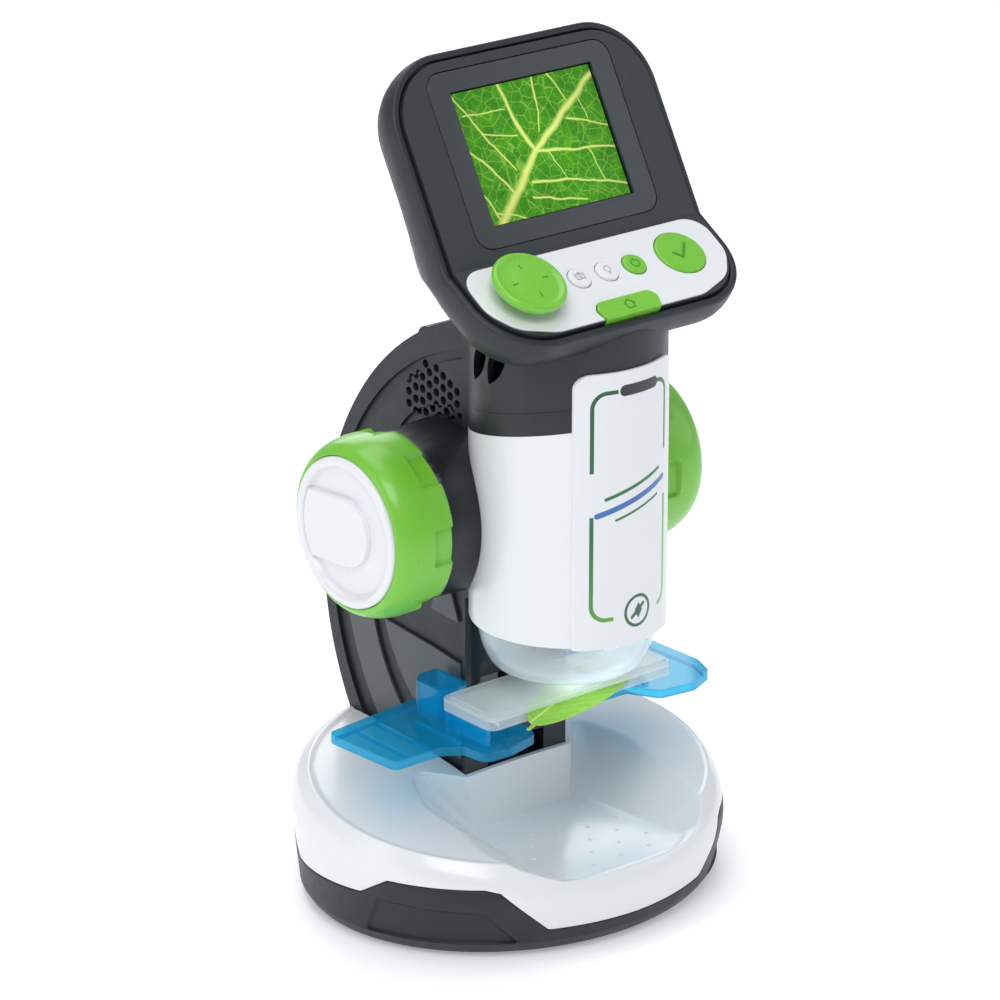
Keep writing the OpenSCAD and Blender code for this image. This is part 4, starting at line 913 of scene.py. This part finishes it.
def base_upper():
    N = 480
    rings = [[] for _ in range(90)]
    for i in range(N):
        t = 2 * pi * i / N
        pts = wall_pts(t)
        z0 = part_z(t) + 0.15
        col = []
        inner = on_wall(wall_pts(t, 2.4), max(z0, 8.4))
        inner.z = 8.3
        col.append(inner)
        q = on_wall(wall_pts(t, 2.4), z0)
        q.z = max(z0 + 0.1, 8.3)
        col.append(q)
        q = on_wall(wall_pts(t, 1.6), z0)
        q.z = z0
        col.append(q)
        q = on_wall(wall_pts(t, 0.35), z0)
        q.z = z0
        col.append(q)
        q = on_wall(wall_pts(t, 0.1), z0 + 0.1)
        q.z = z0 + 0.1
        col.append(q)
        z1 = pts[-1].z
        M = 40
        for k in range(M + 1):
            s = k / M
            z = lerp(z0 + 0.35, z1, s ** 0.85 if s < 1 else 1)
            p = on_wall(pts, z)
            h = tray_h(p.x, p.y)
            if p.y < -20:
                p.z = smin(p.z, h, 0.5)
            col.append(p)
        rim = pts[-1]
        d = Vector((rim.x, rim.y)) - TC
        a = math.atan2(d.y, d.x) % (2 * pi)
        R = d.length
        rf, rm = psample(floor_tab, a), psample(mouth_tab, a)
        rm2 = min(rm, R - 0.6)
        rf = min(rf, rm2 - 0.8)
        stops = [R - (R - rm2) * u for u in (0.012, 0.03, 0.06, 0.1, 0.16, 0.25, 0.38, 0.52, 0.66, 0.78, 0.87, 0.93, 0.97, 1.0)]
        stops += [lerp(rm2, rf, u) for u in (0.04, 0.09, 0.15, 0.25, 0.4, 0.55, 0.7, 0.82, 0.9, 0.95, 1.0)]
        stops += [rf * u for u in (0.97, 0.93, 0.85, 0.65, 0.4, 0.15)]
        for r in stops:
            x, y = TC.x + r * cos(a), TC.y + r * sin(a)
            hz = top_z(x, y)
            z = smin(hz, tray_h(x, y), 0.5)
            col.append(Vector((x, y, z)))
        for j, p in enumerate(col):
            rings[j].append(tuple(p))
    rings = [r for r in rings if len(r) == N]
    v = [p for r in rings for p in r]
    f = []
    for j in range(len(rings) - 1):
        for i in range(N):
            k = (i + 1) % N
            f.append((j * N + i, j * N + k, (j + 1) * N + k, (j + 1) * N + i))
    f.append(tuple(reversed(range(N))))
    f += fan_cap(v, (len(rings) - 1) * N, N, (TC.x, TC.y, TRAY_Z))
    o = make("base_top", v, f, WHITE, "housing", "base_upper_shell", merge=0.0005, angle=42)
    # slot the arm stands in
    side = [(-3.82, 24)] + [(-30 + math.sqrt(89.35 ** 2 - (z - 82.3) ** 2), z) for z in range(24, 62, 2)] + [(-3.82, 60)]
    arm_fr = Frame3((0, 0, 0), (0, 1, 0), (0, 0, 1), (1, 0, 0))
    v2, f2 = prism(side, -18.22, 18.22)
    cut(o, [(v2, f2, arm_fr)], angle=42)
    # grip bumps on the tray floor
    bv, bf = [], []
    for iy in range(6):
        for ix in range(4):
            cx, cy = -15 + 10 * ix + (5 if iy % 2 else 0) - 2.5, -45.5 + 6.6 * iy
            if abs(cx) > 18.5:
                continue
            b0 = len(bv)
            m = 16
            for rr, zz in ((0.62, -0.05), (0.55, 0.12), (0.38, 0.24), (0.18, 0.29)):
                bv += [(cx + rr * cos(2 * pi * k / m), cy + rr * sin(2 * pi * k / m), TRAY_Z + zz) for k in range(m)]
            for j in range(3):
                for k in range(m):
                    kk = (k + 1) % m
                    bf.append((b0 + j * m + k, b0 + j * m + kk, b0 + (j + 1) * m + kk, b0 + (j + 1) * m + k))
            bf.append(tuple(b0 + 3 * m + k for k in range(m)))
            bf.append(tuple(b0 + k for k in reversed(range(m))))
    make("tray_bumps", bv, bf, WHITE, "housing")
    return o


def in_poly_dist(poly, p):
    """Signed distance to a convex counter-clockwise polygon, positive inside."""
    d = 1e9
    for i in range(len(poly)):
        a, b = Vector(poly[i]), Vector(poly[(i + 1) % len(poly)])
        e = (b - a).normalized()
        n = Vector((-e.y, e.x))
        d = min(d, (Vector(p) - a).dot(n))
    return d


PANELS = [[(32.5, 3.7), (78.5, 3.9), (73.4, 15.0), (43.2, 14.4)], [(124, 4), (153, 4), (148, 14.4), (128.5, 14.8)]]


def panel_depth(t, z):
    u = abs((math.degrees(t) + 180) % 360 - 180)
    d = -1e9
    for P in PANELS:
        d = max(d, in_poly_dist([(a * 1.06, b) for a, b in P], (u * 1.06, z)))
    return 0.95 * sstep(-0.25, 0.75, d)


def base_lower():
    N = 720
    cols = []
    for i in range(N):
        t = 2 * pi * i / N
        pts = wall_pts(t)
        zp = part_z(t)
        col = []

        def at(z, w):
            if z < 4.5:
                a, b = krow(K[0], t, w), krow(K[1], t, w)
                return a.lerp(b, (z - 1.2) / 3.3)
            return on_wall(wall_pts(t, w) if w else pts, z)

        col.append(at(1.2, 1.0))
        col.append(at(1.2, 0.25))
        for k in range(1, 5):
            z = 1.2 + 3.3 * k / 4
            col.append(at(max(z, 1.45), 0.0))
        M = 26
        for k in range(1, M + 1):
            z = lerp(4.5, zp - 0.3, k / M)
            w = panel_depth(t, z)
            col.append(at(z, w))
        for w, dz in ((0.12, 0.1), (0.35, 0.0), (2.1, 0.0)):
            p = at(zp - dz, w)
            p.z = zp - dz
            col.append(p)
        p = at(zp, 2.15)
        p.z = 7.2
        col.append(p)
        cols.append(col)
    n = len(cols[0])
    rings = [[tuple(c[j]) for c in cols] for j in range(n)]
    v, f = rings_mesh(rings)
    o = make("base_bottom", v, f, CHAR, "housing", "base_lower_shell", merge=0.0005, angle=38)
    cuts = []
    for a, b in (((-30.8, -27.8, 0), (30.8, 27.8, 5)),):
        v2, f2 = boxm(a, b)
        cuts.append((v2, f2, W))
    for p in [(49, -13), (-49, -13), (43, 25), (-43, 25)]:
        v2, f2 = prism(disc(3.2, 40, *p), 0, 5)
        cuts.append((v2, f2, W))
    for p in [(24, 36), (-24, 36), (37, 8), (-37, 8)]:
        pass
    cut(o, cuts, angle=38)
    return o


base_upper()
base_lower()
from_cad("battery_door", CHAR, "housing", 0.25, 2)

# ------------------------------------------------------------------ arm
for s_, side_ in ((-1, "left"), (1, "right")):
    from_cad("arm_%s_shell" % side_, CHAR, "housing", 0.45, 3, ang=50)
    from_cad("arm_inlay_" + side_, GREY, "housing", 0.28, 2, ang=50)
    from_cad("neck_%s_shell" % side_, CHAR_DARK, "housing", 0.35, 3, ang=50)
    from_cad("focus_hub_" + side_, BLACK, "housing", 0.4, 3, ang=60)
from_cad("neck_ring", BLACK, "housing", 0.3, 2, ang=60)
from_cad("barrel_shell", WHITE, "housing", 0.4, 3, ang=50)
from_cad("front_shield", SHIELD, "housing", 0.3, 3, ang=50)

# ------------------------------------------------------------------ focus knobs
KL = Frame3((-36.7, 2.6, 113.6), (0, 0, 1), (0, 1, 0), (-1, 0, 0))
KR = Frame3((36.7, 2.6, 113.6), (0, 0, 1), (0, 1, 0), (1, 0, 0))


def notch_warp(p, a, r, z):
    if r < 23.6 or z > 6.6:
        return p
    u = (math.degrees(a) - 12) % (360 / 7)
    u = min(u, 360 / 7 - u)
    m = (1 - sstep(10.6, 12.4, u)) * (1 - sstep(5.7, 6.5, z))
    rr = lerp(r, min(r, 23.75), m)
    return (rr * cos(a), rr * sin(a), z)


for s_, fr_k in (("left", KL), ("right", KR)):
    prof = [(23.05, 9.2), (23.05, 0.15), (23.3, 0.0), (24.7, 0.0), (25.1, 0.5), (25.2, 1.6), (25.2, 4.0), (25.2, 5.6), (25.2, 5.9), (25.2, 6.2),
            (25.2, 6.6), (25.2, 8.6), (25.0, 10.6), (24.6, 12.5), (24.0, 14.2), (23.3, 15.5), (22.6, 16.4), (21.9, 16.95), (21.4, 17.1), (21.05, 16.9),
            (21.0, 14.25), (6.4, 14.25), (6.4, 4.05), (3.02, 4.05), (3.02, 12.4), (20.9, 12.4)]
    prof = [(23.05, 9.2), (23.05, 0.15), (23.3, 0.0), (24.7, 0.0), (25.1, 0.5), (25.2, 1.6), (25.2, 4.0), (25.2, 5.6), (25.2, 5.9), (25.2, 6.2),
            (25.2, 6.6), (25.2, 8.6), (25.0, 10.6), (24.6, 12.5), (24.0, 14.2), (23.3, 15.5), (22.6, 16.4), (21.9, 16.95), (21.4, 17.1), (21.05, 16.9),
            (21.0, 14.2), (3.02, 14.2), (3.02, 4.05), (6.4, 4.05), (6.4, 12.4), (20.9, 12.4)]
    lathe("knob_grip_" + s_, prof, fr_k, GREEN, "focus", "focus_knob_" + s_, n=336, closed=True, angle=38, warp=notch_warp)
    cp = [(0, 14.25), (20.86, 14.25), (20.86, 17.1), (20.75, 17.6), (20.4, 18.0), (19.8, 18.15), (18.9, 18.15), (18.5, 17.95), (18.2, 17.4), (17.9, 16.6),
          (17.5, 16.15), (16.5, 16.0), (0, 16.1)]
    lathe("knob_face_" + s_, cp, fr_k, WHITE, "focus", "knob_cap_" + s_, n=192, angle=40)
    tilt = math.radians(4)
    pad_o = []
    for i in range(61):
        a = pi * i / 60
        pad_o.append((9.5 * cos(a), -9.5 * sin(a)))
    for i in range(21):
        a = math.radians(lerp(180 - 57.3, 57.3, i / 20))
        pad_o.append((17.6 * cos(a), 17.6 * sin(a)))
    pad_o = [(x * cos(tilt) - y * sin(tilt), (x * sin(tilt) + y * cos(tilt))) for x, y in pad_o]
    if sum(pad_o[i - 1][0] * pad_o[i][1] - pad_o[i][0] * pad_o[i - 1][1] for i in range(len(pad_o))) < 0:
        pad_o = pad_o[::-1]
    cl = resample(pad_o, 200)
    v, f = slab_mesh(cl, 16.0, 17.85, 0.45, 0, 5)
    wnorm(make("knob_pad_" + s_, v, f, WHITE, "focus", (), fr_k, angle=45))

# ------------------------------------------------------------------ shroud, stage, slide
shr = [(24.35, 96.7), (24.35, 84.6), (24.1, 82), (23.55, 79.2), (22.8, 76.9), (21.9, 74.9), (21.1, 73.6), (20.1, 72.6), (18.9, 72.05), (17.4, 72), (15.2, 72),
       (15, 72.2), (15, 73.2), (15.2, 73.4), (18.3, 73.4), (19.2, 73.8), (20.1, 74.9), (20.9, 76.4), (21.9, 79.0), (22.5, 81.8), (22.8, 84.6), (22.8, 96.7)]
AX = Frame3((0, -25, 0))
lathe("shroud", shr, AX, CLEAR, "housing", "light_shroud", n=160, closed=True, angle=50)
from_cad("stage_plate", BLUE, "stage", 0.3, 3, ang=40)
from_cad("slide_tray", SLIDE, "slide", 0.2, 2, ang=40)
from_cad("slide_cover", SLIDE, "slide", 0.25, 3, ang=40)

# ------------------------------------------------------------------ head


def head_shell():
    """Rear casing of the head: rings that follow the face outline and draw in towards the back, with round corners all the way."""
    HX, TOP, LOW = 44.4, 29.6, 29.9
    up_rows = [(2.02, -3.0), (2.02, 0.2), (1.9, 0.42), (1.55, 0.5), (0.95, 0.5), (0.45, 0.38), (0.12, 0.05), (0.0, -0.6), (0.0, -2.0), (0.04, -3.5),
               (0.40, -5.6), (1.15, -8.1), (2.45, -10.8), (4.2, -13.4), (6.5, -16.0), (9.0, -18.7), (10.9, -20.6), (12.6, -21.6), (14.6, -22.0)]
    lo_rows = [(2.02, -3.0), (2.02, 0.2), (1.9, 0.42), (1.55, 0.5), (0.95, 0.5), (0.45, 0.38), (0.12, 0.05), (0.0, -0.6), (0.0, -2.0), (0.04, -3.6),
               (0.28, -5.2), (0.8, -7.0), (1.7, -8.7), (2.8, -10.3), (4.0, -11.8), (5.3, -12.9), (6.6, -13.8), (8.0, -14.4), (9.8, -14.6)]
    back_u, back_l = up_rows[-1], lo_rows[-1]
    inner_u = [(16.0, -20.2), (12.0, -19.4), (7.6, -15.4), (4.6, -11.0), (2.6, -6.0)]
    inner_l = [(11.4, -12.8), (8.8, -12.4), (6.0, -10.8), (4.0, -8.4), (2.6, -6.0)]
    rows_u, rows_l = inner_u + up_rows, inner_l + lo_rows
    rings = []
    for (eu, zu), (el, zl) in zip(rows_u, rows_l):
        def on_pan(y):
            return (SCR((0, y, zu)) - PAN.o).dot(PAN.z)
        ym = (zl - on_pan(0)) / (on_pan(1) - on_pan(0))
        pm = SCR((0, ym, zu))
        yl = (pm - PAN.o).dot(PAN.y)
        em = (eu + el) / 2
        half = []
        r = max(19.5 - eu, 9.5)
        xt, yt = HX - eu, TOP - eu
        for k in range(8):
            half.append(SCR(((xt - r) * k / 8, yt, zu)))
        for k in range(19):
            a = pi / 2 * (1 - k / 18)
            half.append(SCR((xt - r + r * cos(a), yt - r + r * sin(a), zu)))
        for k in range(1, 11):
            t_ = k / 10
            half.append(SCR((HX - lerp(eu, em, sstep(0.35, 1, t_)), lerp(yt - r, ym, t_), zu)))
        r = max(19.0 - el, 9.5)
        xb, yb = HX - el, -LOW + el
        y1 = min(yb + r, yl - 0.4)
        for k in range(1, 7):
            t_ = k / 6
            half.append(PAN((HX - lerp(em, el, sstep(0, 0.65, t_)), lerp(yl, y1, t_), zl)))
        for k in range(1, 19):
            a = -pi / 2 * k / 18
            half.append(PAN((xb - r + r * cos(a), y1 + (y1 - yb) * sin(a), zl)))
        for k in range(1, 9):
            half.append(PAN(((xb - r) * (1 - k / 8), yb, zl)))
        ring = half + [Vector((-p.x, p.y, p.z)) for p in half[-2:0:-1]]
        rings.append([tuple(p) for p in ring])
    n = len(rings[0])
    v = [p for r_ in rings for p in r_]
    f = []
    for j in range(len(rings) - 1):
        for i in range(n):
            k = (i + 1) % n
            f.append((j * n + i, j * n + k, (j + 1) * n + k, (j + 1) * n + i))
    im = 8 + 19 + 10 - 1
    for j, flip in ((0, True), (len(rings) - 1, False)):
        top = [j * n + i for i in list(range(n - im, n)) + list(range(0, im + 1))]
        low = [j * n + i for i in range(im, n - im + 1)]
        for q in (top, low):
            f.append(tuple(reversed(q)) if flip else tuple(q))
    o = make("head_back", v, f, CHAR, "housing", "head_rear_shell", angle=50)
    cuts = []
    for i in range(-2, 3):
        pts = rpoly([(i * 7 - 1, -4), (i * 7 + 1, -4), (i * 7 + 1, 12), (i * 7 - 1, 12)], 0.95, 5)
        a_, b_ = prism(pts, -26, -20.4)
        cuts.append((a_, b_, SCR))
    for x, y in ((33.5, 17), (-33.5, 17), (35.5, -18), (-35.5, -18)):
        pts = [(x + 3 * cos(2 * pi * k / 32), y + 3 * sin(2 * pi * k / 32)) for k in range(32)]
        a_, b_ = prism(pts, -30, -17.5)
        cuts.append((a_, b_, SCR))
    cut(o, cuts, angle=50)
    return o


head_shell()

from_cad("head_front_bezel", CHAR_FACE, "housing", 0.5, 4, ang=40)
from_cad("screen_frame", SLATE, "housing", 0.2, 3, ang=50)
from_cad("panel_insert", WHITE, "housing", 0.45, 4, ang=40)
from_cad("home_button", GREEN, "home_key", 0.35, 3, ang=40)


def button_prof(r, top, crown=0.35):
    pr_ = [(0, -2.6), (r + 0.9, -2.6), (r + 0.9, -1.3), (r, -1.3), (r, top - 0.75)]
    for k in range(1, 7):
        a = pi / 2 * k / 6
        pr_.append((r - 0.55 * (1 - cos(a)), top - 0.75 + 0.55 * sin(a)))
    for u in (0.8, 0.6, 0.4, 0.2):
        rr = (r - 0.55) * u
        pr_.append((rr, top - 0.2 + 0.2 * (1 - u * u)))
    pr_.append((0, top))
    return pr_


def pframe(x, y, z=0.0):
    return Frame3(PAN((x, y, z)), PAN.x, PAN.y, PAN.z)


KEYS = {"ok_button": (27.2, -12.1, 7.3, 2.2, GREEN, "ok_key", "green"), "power_button": (11.1, -12.1, 3.4, 2.4, GREEN, "power_key", "green"),
        "light_button": (1.6, -12.1, 3.3, 2.4, WHITE, "light_key", "white"), "menu_button": (-7.8, -12.1, 3.3, 2.4, WHITE, "menu_key", "white")}
for nm, (x, y, r, top, mt, bd, sl) in KEYS.items():
    lathe(nm.replace("button", "cap"), button_prof(r, top), pframe(x, y), mt, bd, nm, n=96, angle=40)
dp = [(0, -6.8), (2.6, -6.8), (2.6, 3.4), (8.6, 4.2), (9.7, 4.7), (10.15, 5.4), (10.3, 6.1), (10.2, 6.7), (9.8, 7.15), (9.3, 7.3), (8.8, 7.15), (8.3, 6.85),
      (7.6, 6.75), (5, 7.05), (2.5, 7.3), (0, 7.4)]
lathe("dpad_cap", dp, pframe(-27.2, -12.8), GREEN, "pad", "dpad", n=128, angle=45)


# ------------------------------------------------------------------ raised marks on the buttons
def stroke(pts, w, closed=False):
    """Outline of a line of width w through pts, with round ends when open."""
    P = [Vector(p) for p in pts]
    n = len(P)
    L, R = [], []
    for i in range(n):
        a = P[i - 1] if (i or closed) else P[i] - (P[1] - P[0])
        b = P[(i + 1) % n] if (i < n - 1 or closed) else P[i] + (P[i] - P[i - 1])
        d1, d2 = (P[i] - a).normalized(), (b - P[i]).normalized()
        m = Vector((-(d1 + d2).y, (d1 + d2).x)).normalized()
        k = w / 2 / max(0.45, m.dot(Vector((-d1.y, d1.x))))
        L.append(P[i] + m * k)
        R.append(P[i] - m * k)
    if closed:
        return L, R
    out = list(R)
    d = (P[-1] - P[-2]).normalized()
    a0 = math.atan2(-d.x, d.y)
    c = P[-1]
    st = math.atan2(R[-1].y - c.y, R[-1].x - c.x)
    out += [c + Vector((cos(st + pi * k / 6), sin(st + pi * k / 6))) * (w / 2) for k in range(1, 6)]
    out += list(reversed(L))
    c = P[0]
    st = math.atan2(L[0].y - c.y, L[0].x - c.x)
    out += [c + Vector((cos(st + pi * k / 6), sin(st + pi * k / 6))) * (w / 2) for k in range(1, 6)]
    return [tuple(p) for p in out]


def mark(name, shapes, z0, z1, fr, mat, body):
    """Thin raised mark built from strokes (open) and rings (closed)."""
    V, F = [], []
    for kind, pts, w in shapes:
        if kind == "line":
            poly = stroke(pts, w)
            area_ = sum(poly[i - 1][0] * poly[i][1] - poly[i][0] * poly[i - 1][1] for i in range(len(poly)))
            if area_ < 0:
                poly = poly[::-1]
            v, f = slab_mesh(poly, z0, z1, 0.05, 0, 2)
        elif kind == "fill":
            v, f = slab_mesh(pts, z0, z1, 0.05, 0, 2)
        else:
            L, R = stroke(pts, w, True)
            n = len(L)
            v = [(p.x, p.y, z) for p, z in [(q, z0) for q in R] + [(q, z1) for q in R] + [(q, z1) for q in L] + [(q, z0) for q in L]]
            f = []
            for j in range(4):
                for i in range(n):
                    k = (i + 1) % n
                    a, b = j * n, ((j + 1) % 4) * n
                    f.append((a + i, a + k, b + k, b + i))
        o = len(V)
        V += v
        F += [tuple(o + i for i in q) for q in f]
    return make(name, V, F, mat, body, (), fr, angle=30)


def arc(r, a0, a1, n=24, cx=0, cy=0):
    return [(cx + r * cos(math.radians(lerp(a0, a1, k / n))), cy + r * sin(math.radians(lerp(a0, a1, k / n)))) for k in range(n + 1)]


mark("ok_mark", [("line", [(-2.4, 0.1), (-0.6, -1.9), (2.8, 2.2)], 0.75)], 2.1, 2.34, pframe(27.2, -12.1), GLYPH_D, "ok_key")
mark("power_mark", [("line", arc(1.25, 125, 415, 26), 0.32), ("line", [(0, 0.35), (0, 1.6)], 0.32)], 2.3, 2.5, pframe(11.1, -12.1), GLYPH_D, "power_key")
mark("light_mark", [("line", arc(0.95, -50, 230, 24, 0, 0.35), 0.24), ("line", [(-0.45, -0.75), (0.45, -0.75)], 0.24), ("line", [(-0.3, -1.25), (0.3, -1.25)], 0.24)],
     2.3, 2.48, pframe(1.6, -12.1), GLYPH_G, "light_key")
mark("menu_mark", [("ring", [(-1.3, -0.85), (1.3, -0.85), (1.3, 0.95), (-1.3, 0.95)], 0.24), ("line", [(-0.6, 0.95), (-0.3, 1.4), (0.3, 1.4), (0.6, 0.95)], 0.22),
                   ("ring", arc(0.5, 0, 345, 23, 0, 0.05), 0.2)], 2.3, 2.48, pframe(-7.8, -12.1), GLYPH_G, "menu_key")
mark("home_mark", [("line", [(-1.8, -0.1), (0, 1.5), (1.8, -0.1)], 0.3), ("line", [(-1.15, 0.2), (-1.15, -1.4), (1.15, -1.4), (1.15, 0.2)], 0.3)],
     2.4, 2.6, pframe(0, -24.4), GLYPH_D, "home_key")
mark("pad_ticks", [("line", [(0, 5.6), (0, 4.2)], 0.34), ("line", [(0, -5.6), (0, -4.2)], 0.34), ("line", [(5.6, 0), (4.2, 0)], 0.34), ("line", [(-5.6, 0), (-4.2, 0)], 0.34)],
     6.9, 7.2, pframe(-27.2, -12.8), GLYPH_D, "pad")

# light from the ring under the camera, onto the slide
sp = bpy.data.lights.new("under_lamp", "SPOT")
sp.energy = 0.012
sp.spot_size = math.radians(100)
sp.spot_blend = 1.0
sp.shadow_soft_size = 0.01
so = bpy.data.objects.new("under_lamp", sp)
SC.collection.objects.link(so)
so.location = (0, -0.025, 0.0765)
look(so, (0, -0.025, 0))

gl = bpy.data.lights.new("shroud_glow", "POINT")
gl.energy = 0.014
gl.shadow_soft_size = 0.006
go = bpy.data.objects.new("shroud_glow", gl)
SC.collection.objects.link(go)
go.location = (0, -0.042, 0.086)
